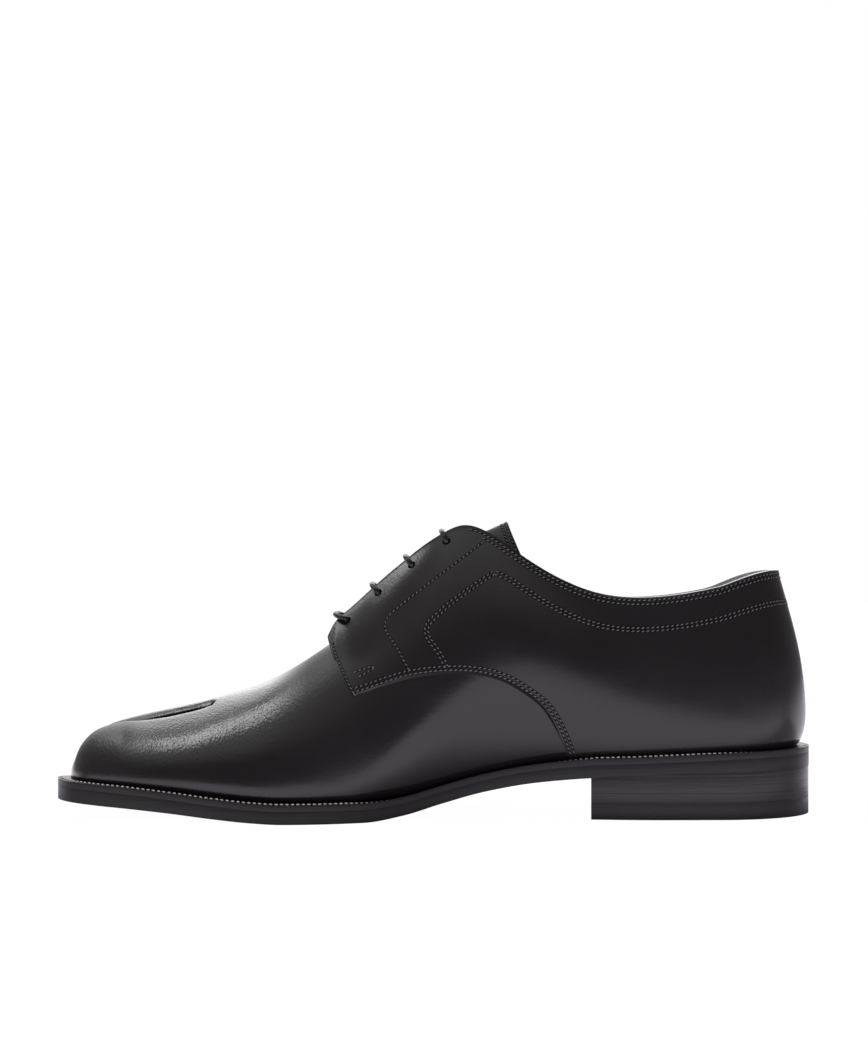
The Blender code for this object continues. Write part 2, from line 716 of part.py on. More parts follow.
def plate(name, parts, material, stations, reach, top, bottom, notch=WELT_NOTCH, notch_end=NOTCH_END,
          hollow=0.0):
    """A piece of the bottom between two heights, split by the notch of the toe."""
    bm = bmesh.new()
    for side in (MEDIAL, LATERAL):
        outer, inner = plan_edges(side, stations, reach(side), notch, notch_end)
        rows = []
        for i, (out, mid) in enumerate(zip(outer, inner)):
            row = []
            for t in np.linspace(0, 1, SOLE_COLUMNS_ACROSS + 1):
                x, y = out + (mid - out) * t
                if hollow and i == 0:
                    x += hollow * (1 - (1 - t) ** 2) + BREAST_SLANT * (1 + y / abs(out[1])) / 2
                row.append((x, y, top(x)))
            rows.append(row)
        loft(bm, rows, side == LATERAL)
    bmesh.ops.remove_doubles(bm, verts=bm.verts, dist=WELD)
    made = bmesh.ops.extrude_face_region(bm, geom=bm.faces[:])["geom"]
    lower = [v for v in made if isinstance(v, bmesh.types.BMVert)]
    for vertex in lower:
        vertex.co.z = bottom(vertex.co.x)
    bmesh.ops.recalc_face_normals(bm, faces=bm.faces)
    return add_object(name, bm, parts, material)


def welt_reach(side):
    name = "medial" if side == MEDIAL else "lateral"
    return lambda station: smooth(WELT, WELT_COLUMNS, name, station)


def bottom_pieces(parts, finishes):
    """Welt, outsole, heel block, top piece and insole."""
    heel_stations = [s for s in SOLE_STATIONS if s >= BREAST_X]
    seat = TOP_PIECE_THICK + GAP
    plate("welt", parts, finishes["welt"], SOLE_STATIONS, welt_reach,
          welt_top, lambda x: outsole_top(x) + GAP)
    plate("outsole", parts, finishes["outsole"], SOLE_STATIONS, welt_reach, outsole_top, sole_bottom)
    heel_reach = lambda side: lambda s: welt_reach(side)(s) - HEEL_INSET
    plate("heel_stack", parts, finishes["heel"], heel_stations, heel_reach,
          lambda x: sole_bottom(x) - GAP, lambda x: seat, hollow=BREAST_HOLLOW)
    plate("heel_top_piece", parts, finishes["top_piece"], heel_stations, heel_reach,
          lambda x: TOP_PIECE_THICK, lambda x: 0.0, hollow=BREAST_HOLLOW)
    inset = lambda side: lambda s: -INSOLE_INSET
    plate("insole", parts, finishes["insole"], SOLE_STATIONS, inset,
          lambda x: welt_top(x) + GAP + INSOLE_THICK, lambda x: welt_top(x) + GAP, -INSOLE_INSET, CLEFT_END)


def lace_bars(parts, material):
    """Four straight bars of the lace, from eyelet to eyelet across the throat."""
    for number, x in enumerate(EYELET_X, 1):
        path = []
        for side in (MEDIAL, LATERAL):
            place, edge, normal = facing_frame(side, x)
            lift = QUARTER_STEP + LACE_LIFT
            half = [place + normal * h for h in (-0.6, lift - 0.7)]
            half.append(place * 0.87 + edge * 0.13 + normal * (lift - 0.1))
            half += [place * (1 - t) + edge * t + normal * lift for t in (0.4, 1.0)]
            if number == len(EYELET_X):
                half[-2], half[-1] = half[-2] + LOW_BAR_SAG / 2, half[-1] + LOW_BAR_SAG
            path = path + half if side == MEDIAL else path + half[::-1]
        cord = bpy.data.curves.new(f"lace_bar_{number}", "CURVE")
        cord.dimensions = "3D"
        cord.bevel_depth = LACE_RADIUS * MM
        cord.bevel_resolution = 2
        cord.use_fill_caps = True
        line = cord.splines.new("POLY")
        line.points.add(len(path) - 1)
        for point, co in zip(line.points, path):
            point.co = (*(co * MM), 1.0)
        cord.materials.append(material)
        parts.objects.link(bpy.data.objects.new(cord.name, cord))


def main():
    for obj in list(bpy.data.objects):
        bpy.data.objects.remove(obj)
    parts, tools = collection("tabi_lace_up_shoe"), collection("tools")
    tools.hide_render = True
    black = (0.012, 0.011, 0.012)
    finishes = {
        "welt": finish("black_welt", (0.014, 0.013, 0.013), 0.45),
        "outsole": finish("black_edge", (0.018, 0.016, 0.016), 0.4),
        "heel": finish("heel_leather", (0.02, 0.018, 0.019), 0.38),
        "top_piece": finish("heel_rubber", (0.022, 0.021, 0.021), 0.55),
        "insole": finish("insole_leather", (0.03, 0.027, 0.026), 0.5),
    }
    upper(parts, tools, finish("upper_leather", black, 0.3))
    tongue(parts, finish("tongue_leather", black, 0.35))
    bottom_pieces(parts, finishes)
    lace_bars(parts, finish("waxed_cord", (0.015, 0.014, 0.014), 0.6))
    for made in (*parts.objects, *tools.objects):
        made.location.x = CENTRE_X * MM


main()
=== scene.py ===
"""Looks of the tabi lace-up shoe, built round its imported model.

Tables and sizes are millimetres in the shoe's own frame: the toe points along -X, the big-toe side faces -Y,
and the floor is Z = 0. A station is a place along the shoe, equal to X on its straight stretch and measured
along an arc past the roots of the toe and the heel.
"""

import logging
import math
from bisect import bisect_right
from contextlib import contextmanager
from dataclasses import dataclass
from enum import Enum
from typing import Callable, Iterator, Sequence

import bpy
import numpy as np
from bpy.types import Material, Node, NodeSocket, NodeTree, Object
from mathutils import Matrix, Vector
from mathutils.bvhtree import BVHTree


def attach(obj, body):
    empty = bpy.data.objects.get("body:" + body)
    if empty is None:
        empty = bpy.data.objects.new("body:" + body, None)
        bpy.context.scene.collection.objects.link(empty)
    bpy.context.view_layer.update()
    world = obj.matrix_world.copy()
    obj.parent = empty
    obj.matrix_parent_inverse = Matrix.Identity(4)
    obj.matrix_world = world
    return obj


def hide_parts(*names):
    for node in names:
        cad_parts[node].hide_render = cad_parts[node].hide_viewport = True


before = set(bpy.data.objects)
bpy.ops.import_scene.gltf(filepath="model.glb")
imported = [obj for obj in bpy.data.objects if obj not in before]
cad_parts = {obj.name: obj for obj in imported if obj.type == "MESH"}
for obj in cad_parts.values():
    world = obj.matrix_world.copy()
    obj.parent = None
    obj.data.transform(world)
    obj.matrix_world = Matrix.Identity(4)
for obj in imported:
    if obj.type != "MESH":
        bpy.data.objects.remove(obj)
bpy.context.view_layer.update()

LOG = logging.getLogger("shoe")
MM = 0.001
UP = np.array([0.0, 0.0, 1.0])
# Divides the scale of a wave texture, so that its light and dark bands are each about one unit wide
BAND_SCALE = 6.3
Inputs = dict[str | int, object]


class Side(Enum):
    """Side of the shoe, with the sign of its Y."""

    MEDIAL = -1
    LATERAL = 1

    @property
    def label(self) -> str:
        """Name of the side's columns in the tables."""
        return self.name.lower()


class Reading(Enum):
    """How a table's column is read between its rows."""

    SMOOTH = "natural cubic curve"
    STEADY = "curve that never overshoots the rows"


class Spline:
    """A curve through the rows of one column of a table."""

    def __init__(self, places: Sequence[float], values: Sequence[float], reading: Reading) -> None:
        """Works out the curve once, so that it is quick to read.

        Args:
            places: Rising places of the rows.
            values: Value at each place.
            reading: How to pass from row to row.
        """
        self.places, self.values = list(places), list(values)
        self.reading = reading
        step = np.diff(places)
        slope = np.diff(values) / step
        size = len(self.places)
        if reading is Reading.STEADY:
            self.slopes = [0.0] * size
            for i in range(1, size - 1):
                if slope[i - 1] * slope[i] > 0:
                    self.slopes[i] = 2 * slope[i - 1] * slope[i] / (slope[i - 1] + slope[i])
            return
        matrix, right = np.eye(size), np.zeros(size)
        for i in range(1, size - 1):
            matrix[i, i - 1:i + 2] = step[i - 1], 2 * (step[i - 1] + step[i]), step[i]
            right[i] = 6 * (slope[i] - slope[i - 1])
        self.bends = np.linalg.solve(matrix, right).tolist()

    def at(self, place: float) -> float:
        """Reads the curve.

        Args:
            place: Where to read it. Past either end it keeps the end's value.

        Returns:
            The value there.
        """
        x, y = self.places, self.values
        place = min(max(place, x[0]), x[-1])
        i = min(max(bisect_right(x, place) - 1, 0), len(x) - 2)
        step = x[i + 1] - x[i]
        b = (place - x[i]) / step
        a = 1 - b
        if self.reading is Reading.STEADY:
            values = (1 + 2 * b) * a * a * y[i] + b * b * (3 - 2 * b) * y[i + 1]
            return values + (b * a * a * self.slopes[i] - b * b * a * self.slopes[i + 1]) * step
        curve = ((a**3 - a) * self.bends[i] + (b**3 - b) * self.bends[i + 1]) * step * step / 6
        return a * y[i] + b * y[i + 1] + curve


class Table:
    """Rows with named columns, read as curves along the first column."""

    def __init__(
        self, columns: Sequence[str], rows: Sequence[Sequence[float]], reading: Reading = Reading.SMOOTH
    ) -> None:
        """Keeps a curve for each column.

        Args:
            columns: Names of the columns. The first one is the place.
            rows: Values, a row for each place.
            reading: How to pass from row to row.
        """
        values = np.array(rows, float).T
        self.first, self.last = float(values[0][0]), float(values[0][-1])
        self.curves = {
            name: Spline(values[0].tolist(), column.tolist(), reading)
            for name, column in zip(columns[1:], values[1:])
        }

    def at(self, name: str, place: float) -> float:
        """Value of a named column at a place."""
        return self.curves[name].at(place)


# Ends of the last: its straight stretch lies between the two roots
TOE_ROOT, TOE_REACH, LATERAL_TOE_REACH = -112.0, 31.5, 28.5
HEEL_ROOT, HEEL_ARC = 112.0, 38.0
TOE_END = TOE_ROOT - TOE_REACH * math.pi / 2
HEEL_END = HEEL_ROOT + HEEL_ARC * math.pi / 2
CENTRE_X = -0.7

# Throat, cleft and heel breast
THROAT_X = -30.0
CLEFT_Y, CLEFT_END, NOTCH_END = -2.5, -88.0, -97.0
BREAST_X = 61.2
# Ledge of a piece of the bottom whose upper face runs level to its edge
PLAIN_EDGE = ((0.0, 0.0),)

# Sole: height of its underside and thickness of the outsole
SOLE = Table(
    ("x", "bottom", "outsole"),
    (
        (-152.0, 6.9, 5.2), (-125.0, 5.8, 5.2), (-103.0, 4.0, 4.9), (-84.0, 1.9, 4.7), (-70.0, 0.6, 4.6),
        (-58.0, 0.0, 4.6), (-27.0, 0.0, 4.6), (-12.0, 2.0, 4.4), (3.0, 6.0, 4.2), (20.0, 10.4, 4.2),
        (40.0, 14.0, 4.4), (60.0, 16.0, 4.6), (80.0, 17.3, 4.1), (100.0, 18.0, 4.3), (125.0, 18.6, 4.8),
        (152.0, 18.9, 5.0),
    ),
    Reading.STEADY,
)

# Last: half-widths at the feather edge, bulge of the side above it, and height of the fullest point
LAST = Table(
    ("station", "medial", "lateral", "bulge_medial", "bulge_lateral", "rise_medial", "rise_lateral"),
    (
        (TOE_END, 11.5, 6.5, 0.0, 0.0, 0.0, 0.0),
        (-154.8, 16.5, 12.0, 0.2, 0.2, 0.8, 0.8),
        (-148.6, 21.5, 17.0, 0.3, 0.3, 1.2, 1.2),
        (-142.6, 26.0, 22.0, 0.4, 0.4, 1.6, 1.6),
        (-135.0, 30.2, 27.3, 0.5, 0.5, 2.0, 2.0),
        (-125.4, 34.3, 32.8, 0.6, 0.6, 2.5, 2.5),
        (-112.0, 38.0, 38.0, 0.8, 0.8, 3.2, 3.4),
        (-100.0, 40.3, 41.0, 1.0, 1.0, 3.9, 4.4),
        (-80.0, 43.5, 43.6, 1.4, 1.5, 4.4, 6.2),
        (-60.0, 44.9, 44.8, 1.9, 2.0, 4.2, 8.5),
        (-40.0, 42.6, 44.0, 2.8, 2.6, 5.2, 12.0),
        (-30.0, 39.5, 43.3, 3.8, 3.1, 7.2, 14.3),
        (-20.0, 35.8, 42.3, 5.0, 3.6, 13.4, 17.0),
        (0.0, 28.5, 37.8, 8.4, 4.6, 29.0, 23.0),
        (20.0, 25.3, 34.5, 9.4, 5.0, 40.5, 27.0),
        (40.0, 26.0, 33.0, 7.4, 4.4, 39.5, 27.0),
        (60.0, 28.3, 31.5, 4.6, 3.2, 30.5, 24.0),
        (85.0, 30.0, 30.5, 2.8, 2.6, 19.8, 18.5),
        (112.0, 29.5, 29.5, 2.0, 2.0, 12.4, 12.4),
        (HEEL_END, 29.5, 29.5, 2.0, 2.0, 12.4, 12.4),
    ),
)
FEATHER_BACK, SIDE_BACK, COLLAR_BACK = 33.2, 35.2, 24.2

# Welt: how far its edge stands out from the feather edge
WELT = Table(
    ("station", "medial", "lateral"),
    (
        (TOE_END, 5.0, 4.8), (-135.0, 5.2, 5.0), (-112.0, 5.2, 5.0), (-60.0, 4.9, 5.0), (-30.0, 4.0, 4.6),
        (0.0, 2.0, 3.8), (25.0, 1.6, 3.2), (60.0, 3.0, 3.2), (112.0, 3.6, 3.6), (HEEL_END, 4.5, 4.5),
    ),
)

# Crown: height of the vamp's middle line
CROWN = Table(
    ("station", "height"),
    (
        (TOE_END, 14.6), (-158.5, 16.6), (-154.8, 19.6), (-151.7, 22.9), (-148.6, 26.0), (-143.5, 29.6),
        (-139.7, 31.9), (-133.0, 34.6), (-126.6, 36.2), (-120.2, 37.6), (-112.0, 39.5), (-103.0, 41.4),
        (-95.0, 43.2), (-88.0, 45.0), (-80.0, 47.2), (-70.0, 50.4), (-60.0, 55.0), (-50.0, 61.0),
        (-42.0, 66.4), (-36.0, 70.4), (-30.0, 74.3), (-10.0, 88.0), (20.0, 108.0),
    ),
)

# How far the line of the cleft lies under the crest, which stands on its little-toe side
CREST = Table(
    ("station", "fall"),
    (
        (TOE_END, 0.0), (-128.0, 0.0), (-122.5, 0.1), (-118.0, 0.65), (-112.0, 1.0), (-104.0, 1.25),
        (-96.0, 1.25), (CLEFT_END, 1.05), (-74.0, 0.7), (-58.0, 0.25), (-44.0, 0.0),
    ),
    Reading.STEADY,
)
CREST_Y = 8.0

# Top edge of the quarters: facing edge up to the peak, then the topline round the heel
TOP = Table(
    ("station", "half_width", "height", "lean"),
    (
        (-43.1, 13.2, 68.4, 54.0),
        (-40.9, 9.6, 74.3, 55.0),
        (-36.6, 7.3, 78.9, 56.0),
        (-30.0, 7.0, 83.8, 57.0),
        (-20.0, 7.0, 92.3, 57.0),
        (-10.0, 7.0, 100.6, 56.0),
        (0.0, 7.0, 108.2, 53.0),
        (7.0, 7.3, 112.2, 48.0),
        (12.7, 8.2, 113.9, 41.0),
        (18.0, 10.0, 112.6, 38.0),
        (24.0, 12.6, 109.6, 33.0),
        (30.0, 15.2, 105.4, 28.0),
        (36.0, 17.6, 101.3, 24.0),
        (45.0, 20.6, 95.7, 19.0),
        (55.0, 23.0, 90.8, 15.0),
        (64.0, 24.4, 87.8, 12.0),
        (78.0, 25.2, 86.1, 10.0),
        (90.0, 24.6, 86.6, 10.0),
        (100.0, 23.2, 87.9, 11.0),
        (112.0, 21.5, 90.2, 13.0),
        (125.0, 20.8, 93.2, 14.0),
        (140.0, 20.5, 95.6, 15.0),
        (HEEL_END, 20.5, 95.8, 15.0),
    ),
)

# How much lower the topline runs on the lateral side
DIP = Table(
    ("station", "drop"),
    (
        (20.0, 0.0), (50.0, 0.8), (80.0, 1.3), (94.0, 1.5), (106.0, 1.6), (116.0, 1.4), (132.0, 0.8),
        (HEEL_END, 0.0),
    ),
    Reading.STEADY,
)

# Lower edge of each quarter, seen from the side, from its front corner down to the welt
QUARTER_EDGE = Table(
    ("x", "height"),
    (
        (-31.3, 47.9), (-20.6, 51.8), (-11.6, 54.8), (-2.7, 56.4), (5.8, 57.1), (17.8, 56.4), (28.4, 53.2),
        (37.5, 47.5), (44.5, 40.8), (48.9, 32.3), (52.5, 23.0),
    ),
)

# Cleft: half its gap, where its lip begins, and how far its walls reach down to the sole
CLEFT = Table(
    ("station", "half_gap", "lip", "depth"),
    (
        (TOE_END, 9.0, 9.0, 1.0), (-154.8, 6.6, 8.2, 1.0), (-148.6, 4.6, 7.6, 1.0), (-142.6, 3.2, 7.0, 1.0),
        (-130.0, 2.7, 6.8, 1.0), (-110.0, 2.7, 6.6, 1.0), (-98.0, 2.6, 6.4, 1.0), (-94.0, 2.5, 6.1, 1.0),
        (-91.0, 2.1, 5.7, 0.8), (-89.4, 1.5, 5.2, 0.5), (CLEFT_END, 0.0, 4.8, 0.0),
    ),
    Reading.STEADY,
)

# Tongue: middle height, half-width and how far its sides fall
TONGUE = Table(
    ("x", "height", "half_width", "fall"),
    (
        (-36.0, 67.2, 15.0, 4.5), (-30.0, 71.0, 17.0, 7.0), (-20.0, 82.0, 20.0, 15.0),
        (-10.0, 92.0, 22.0, 19.0), (0.0, 101.0, 22.5, 21.0), (10.0, 107.2, 21.5, 22.0),
        (20.0, 111.8, 19.0, 22.0), (29.2, 115.8, 17.0, 19.0),
    ),
)


def soft_step(value: float) -> float:
    """0 below 0, 1 above 1 and a smooth rise between."""
    t = min(max(value, 0.0), 1.0)
    return t * t * (3 - 2 * t)


def bezier(start: np.ndarray, lead: np.ndarray, trail: np.ndarray, end: np.ndarray, count: int) -> np.ndarray:
    """Points of a cubic curve.

    Args:
        start: First point.
        lead: Handle of the first point.
        trail: Handle of the last point.
        end: Last point.
        count: How many points, both ends included.

    Returns:
        The points, one a row.
    """
    t = np.linspace(0, 1, count)[:, None]
    s = 1 - t
    return s**3 * start + 3 * s * s * t * lead + 3 * s * t * t * trail + t**3 * end


def run_of(points: np.ndarray) -> np.ndarray:
    """Distance run along a line at each of its points."""
    return np.concatenate([[0.0], np.cumsum(np.linalg.norm(np.diff(points, axis=0), axis=1))])


def at_shares(points: np.ndarray, shares: Sequence[float]) -> np.ndarray:
    """Points of a line at shares of its length."""
    run = run_of(points)
    places = np.array(shares) * run[-1]
    return np.stack([np.interp(places, run, points[:, k]) for k in range(points.shape[1])], axis=1)


def spread(points: np.ndarray, count: int) -> np.ndarray:
    """A line resampled to a count of evenly spaced points, both ends included."""
    return at_shares(points, np.linspace(0, 1, count))


def at_height(rib: np.ndarray, height: float) -> np.ndarray:
    """Point of a rising rib at a height."""
    return np.array([np.interp(height, rib[:, 2], rib[:, k]) for k in range(3)])


def below(rib: np.ndarray, height: float) -> np.ndarray:
    """The part of a rising rib under a height."""
    return np.vstack([rib[rib[:, 2] < height], at_height(rib, height)])


@dataclass(frozen=True)
class Last:
    """The form that the leather is pulled over, and the seat that the bottom gives it."""

    gap: float = 0.3
    welt_thick: float = 2.5
    seat_gap: float = 0.1
    # Cleft: its lips, the seam under them and its walls
    lip_drop: float = 1.9
    lip_closing: float = 0.32
    lip_parting: tuple[float, float] = (2.8, 5.3)
    lip_share: float = 0.4
    lip_handles: tuple[float, float, float] = (0.45, 0.3, 0.45)
    full_gap: float = 2.2
    least_lip: float = 0.5
    wall_share: float = 0.85
    full_depth: float = 0.99
    seam_tuck: float = 0.6
    tuck_lean: float = 0.2
    gusset: tuple[tuple[float, float], ...] = ((-0.2, 0.9), (-0.8, 1.7), (-1.4, 2.6))
    # Sections of the sides and the crown
    crest_share: float = 0.3
    side_height: float = 0.72
    side_shares: tuple[float, ...] = (0.0, 0.02, 0.05, 0.1, 0.19, 0.31, 0.45, 0.59, 0.73, 0.87, 1.0)
    roll_leans: tuple[float, float] = (20.0, 50.0)
    rolls: tuple[float, float] = (0.33, 0.17)
    hip_handle: float = 0.38
    low_points: int = 28
    over_points: int = 48
    crest_points: tuple[int, int] = (42, 9)
    foot_lean: float = 1.7
    foot_handle: float = 0.36
    dome_handle: float = 0.58
    crown_handles: tuple[float, float] = (0.55, 0.5)
    tuck: float = 1.9
    tuck_height: float = 2.8
    tuck_rises: tuple[float, float] = (4.0, 12.0)
    # Quarters on the vamp
    quarter_lap: float = 8.0
    wing_blend: float = 16.0
    front_slant: float = 13.0
    slant_curl: float = 0.15
    slant_power: int = 7
    slant_end: float = 55.0
    eyelet_drop: float = 4.3
    flap_ease: float = 0.8
    crown_room: float = 0.5
    edge_step: float = 2.0
    # Notch between the toes in the pieces of the bottom
    notch_round: float = 4.0
    notch_fade: float = 26.0

    def outsole_top(self, x: float) -> float:
        """Height of the outsole's upper face."""
        return SOLE.at("bottom", x) + SOLE.at("outsole", x)

    def welt_top(self, x: float) -> float:
        """Height of the welt's upper face."""
        return self.outsole_top(x) + self.gap + self.welt_thick

    def along(self, side: Side, station: float, heel_reach: float) -> tuple[float, float]:
        """Turns a station into X.

        Args:
            side: Side of the shoe.
            station: Place along the shoe.
            heel_reach: How far the edge in question reaches behind the heel's root.

        Returns:
            X, and the share of its half-width that the edge has there.
        """
        if station < TOE_ROOT:
            reach = TOE_REACH if side is Side.MEDIAL else LATERAL_TOE_REACH
            return TOE_ROOT - reach * math.sin((TOE_ROOT - station) / TOE_REACH), 1.0
        if station > HEEL_ROOT:
            turn = (station - HEEL_ROOT) / HEEL_ARC
            return HEEL_ROOT + heel_reach * math.sin(turn), math.cos(turn)
        return station, 1.0

    def outward(self, side: Side, station: float) -> np.ndarray:
        """Level direction that points out of the shoe at a station."""
        turn = max(0.0, station - HEEL_ROOT) / HEEL_ARC
        return np.array([math.sin(turn), side.value * math.cos(turn), 0.0])

    def middle_y(self, x: float) -> float:
        """Y of the vamp's middle line, which runs into the cleft."""
        return CLEFT_Y * soft_step((THROAT_X - x) / (THROAT_X - CLEFT_END))

    def feather(self, side: Side, station: float) -> np.ndarray:
        """Point of the upper's bottom edge, on the welt."""
        x, share = self.along(side, station, FEATHER_BACK)
        half = share * LAST.at(side.label, station)
        return np.array([x, side.value * half, self.welt_top(x) + self.seat_gap])

    def fullest(self, side: Side, station: float) -> np.ndarray:
        """Point where the side of the upper stands out furthest."""
        x, share = self.along(side, station, SIDE_BACK)
        half = LAST.at(side.label, station) + LAST.at("bulge_" + side.label, station)
        rise = LAST.at("rise_" + side.label, station)
        return np.array([x, side.value * share * half, self.feather(side, station)[2] + rise])

    def top_edge(self, side: Side, station: float) -> np.ndarray:
        """Point of the facing edge or the topline."""
        x, share = self.along(side, station, COLLAR_BACK)
        height = TOP.at("height", station)
        if side is Side.LATERAL:
            height -= DIP.at("drop", station)
        return np.array([x, side.value * share * TOP.at("half_width", station), height])

    def lower_rib(self, side: Side, station: float) -> np.ndarray:
        """Curve from the feather edge up to the fullest point, drawn in at its foot on a tall side."""
        foot, hip = self.feather(side, station), self.fullest(side, station)
        reach = hip - foot
        chord = np.linalg.norm(reach)
        lean = math.atan2(self.foot_lean * math.hypot(reach[0], reach[1]), max(reach[2], 1e-6))
        start = UP * math.cos(lean) + self.outward(side, station) * math.sin(lean)
        handle = chord * self.foot_handle
        rib = bezier(foot, foot + start * handle, hip - UP * handle, hip, self.low_points)
        drawn = np.exp((foot[2] - rib[:, 2]) / self.tuck_height) - math.exp(-reach[2] / self.tuck_height)
        low, tall = self.tuck_rises
        drawn *= self.tuck * soft_step((reach[2] - low) / (tall - low))
        return rib - self.outward(side, station) * drawn[:, None]

    def dome_rib(self, side: Side, station: float) -> np.ndarray:
        """Curve of the vamp from the feather edge over to the shoe's middle line."""
        hip = self.fullest(side, station)
        middle, fall = self.middle_y(hip[0]), CREST.at("fall", station)
        span = abs(middle - hip[1])
        reach = min(CREST_Y, self.crest_share * span)
        inward = np.array([0.0, -side.value, 0.0])
        end = np.array([hip[0], middle, CROWN.at("height", station) - fall])
        near, far = self.crown_handles
        if side is Side.MEDIAL:
            lead = hip + UP * (end[2] - hip[2]) * self.dome_handle
            climb = inward + UP * 2 * fall / CREST_Y
            over = bezier(hip, lead, end - climb * span * near, end, self.over_points)
            return np.vstack([self.lower_rib(side, station), over[1:]])
        crest = end - inward * reach + UP * fall
        lead = hip + UP * (crest[2] - hip[2]) * self.dome_handle
        up, past = self.crest_points
        over = bezier(hip, lead, crest - inward * (span - reach) * far, crest, up)
        down = [crest + inward * reach * t - UP * fall * t * t for t in np.linspace(0, 1, past)[1:]]
        return np.vstack([self.lower_rib(side, station), over[1:], *down])

    def quarter_rib(self, side: Side, station: float) -> np.ndarray:
        """Curve of the quarter from the feather edge up to its top edge."""
        hip, top = self.fullest(side, station), self.top_edge(side, station)
        chord = np.linalg.norm(top - hip)
        lean = TOP.at("lean", station)
        roll = chord * np.interp(lean, self.roll_leans, self.rolls)
        lean = math.radians(lean)
        end = UP * math.cos(lean) - self.outward(side, station) * math.sin(lean)
        over = bezier(hip, hip + UP * chord * self.hip_handle, top - end * roll, top, self.over_points)
        return np.vstack([self.lower_rib(side, station), over[1:]])

    def cleft_wall(self, side: Side, station: float, ends: np.ndarray, counts: tuple[int, int]) -> np.ndarray:
        """Lip of the cleft, which rolls down to a narrow slit, and the gusset under it down to the sole.

        Args:
            side: Side of the shoe.
            station: Place along the shoe, ahead of the cleft's end.
            ends: Last two points of the dome before the lip rolls over.
            counts: Points of the lip's roll and of the wall under the seam.

        Returns:
            Points from the one after the dome's last down to the foot of the wall.
        """
        last = ends[1]
        climb = (ends[1][2] - ends[0][2]) / max(abs(ends[1][1] - ends[0][1]), 1e-6)
        half_gap, lip, depth = (CLEFT.at(name, station) for name in ("half_gap", "lip", "depth"))
        crown = CROWN.at("height", station)
        fall = min(depth, 1.0) * (crown - self.feather(side, station)[2])
        drop = min(self.lip_drop, self.lip_share * fall)
        share = min(1.0, half_gap / self.full_gap) if half_gap < lip - self.least_lip else 0.0
        closed, parted = self.lip_parting
        opened = soft_step((half_gap - closed) / (parted - closed))
        seam = half_gap * (self.lip_closing + (1 - self.lip_closing) * opened)
        lift = climb * abs(CLEFT_Y + side.value * seam - last[1]) if share else 0.0
        edge = np.array([last[0], CLEFT_Y + side.value * seam, last[2] + lift - drop])
        wide = half_gap * self.wall_share if depth > self.full_depth else 0.0
        foot = np.array([last[0], CLEFT_Y + side.value * wide, crown - fall])
        if half_gap >= lip:
            foot = edge = last
        inward = np.array([0.0, -side.value, 0.0])
        across = np.array([0.0, edge[1] - last[1], lift])
        level = np.array([0.0, edge[1] - last[1], 0.0])
        over, under, down = self.lip_handles
        trail = edge - level * under + UP * down * drop
        roll = bezier(last, last + across * over, trail, edge, counts[0] + 1)
        tuck = edge - (inward * self.tuck_lean + UP) * self.seam_tuck * share
        shelf = [edge + (inward * reach - UP * fall) * share for reach, fall in self.gusset]
        wall = np.linspace(shelf[-1], foot, counts[1] + 1)
        return np.vstack([roll[1:], tuck, *shelf, wall[1:]])

    def vamp_rib(self, side: Side, station: float, columns: tuple[int, int, int]) -> np.ndarray:
        """Section of the vamp: up the side, over the crown and, ahead of CLEFT_END, down into the cleft.

        Args:
            side: Side of the shoe.
            station: Place along the shoe.
            columns: Faces across the crown, the lip's roll and the cleft's wall.

        Returns:
            Points of the section, from the welt inwards.
        """
        dome = self.dome_rib(side, station)
        inside = np.abs(dome[:, 1] - CLEFT_Y) <= CLEFT.at("lip", station)
        cut = max(int(np.argmax(inside)) if inside.any() else len(dome) - 1, 2)
        outer = dome[:cut]
        split = outer[0][2] + self.side_height * (outer[:, 2].max() - outer[0][2])
        half = min(max(int(np.argmax(outer[:, 2] >= split)), 1), len(outer) - 2)
        lower, upper = at_shares(outer[:half + 1], self.side_shares), spread(outer[half:], columns[0] + 1)
        if station >= CLEFT_END:
            inner = spread(dome[cut - 1:], columns[1] + columns[2] + len(self.gusset) + 2)[1:]
        else:
            inner = self.cleft_wall(side, station, outer[-2:], columns[1:])
        return np.vstack([lower, upper[1:], inner])

    def wing_rib(self, side: Side, station: float) -> np.ndarray:
        """Section of the vamp's wing, which runs back under the quarter.

        Args:
            side: Side of the shoe.
            station: Place along the shoe, behind the throat.

        Returns:
            Points of the section, from the welt up.
        """
        share = soft_step((station - THROAT_X) / self.wing_blend)
        foot = self.feather(side, station)[2]
        height = max(QUARTER_EDGE.at("height", station), foot) + self.quarter_lap
        low = at_shares(below(self.dome_rib(side, station), height), self.side_shares)
        high = at_shares(below(self.quarter_rib(side, station), height), self.side_shares)
        return low * (1 - share) + high * share

    def quarter_row(self, side: Side, station: float, shares: np.ndarray) -> np.ndarray:
        """Slanted section of the quarter, from its lower edge to its top edge.

        Args:
            side: Side of the shoe.
            station: Place of the section's foot along the shoe.
            shares: Shares of the way up at which to give points.

        Returns:
            A point for each share.
        """
        share = (self.slant_end - station) / (self.slant_end - QUARTER_EDGE.first)
        slant = self.front_slant * max(0.0, share)
        foot = self.feather(side, station)[2]
        low = max(foot, QUARTER_EDGE.at("height", station)) if station < QUARTER_EDGE.last else foot
        high = self.top_edge(side, station - slant * (1 - self.slant_curl))[2]
        places = station - slant * (shares - self.slant_curl * shares**self.slant_power)
        return np.array([self.on_vamp(side, x, low + (high - low) * t) for x, t in zip(places, shares)])

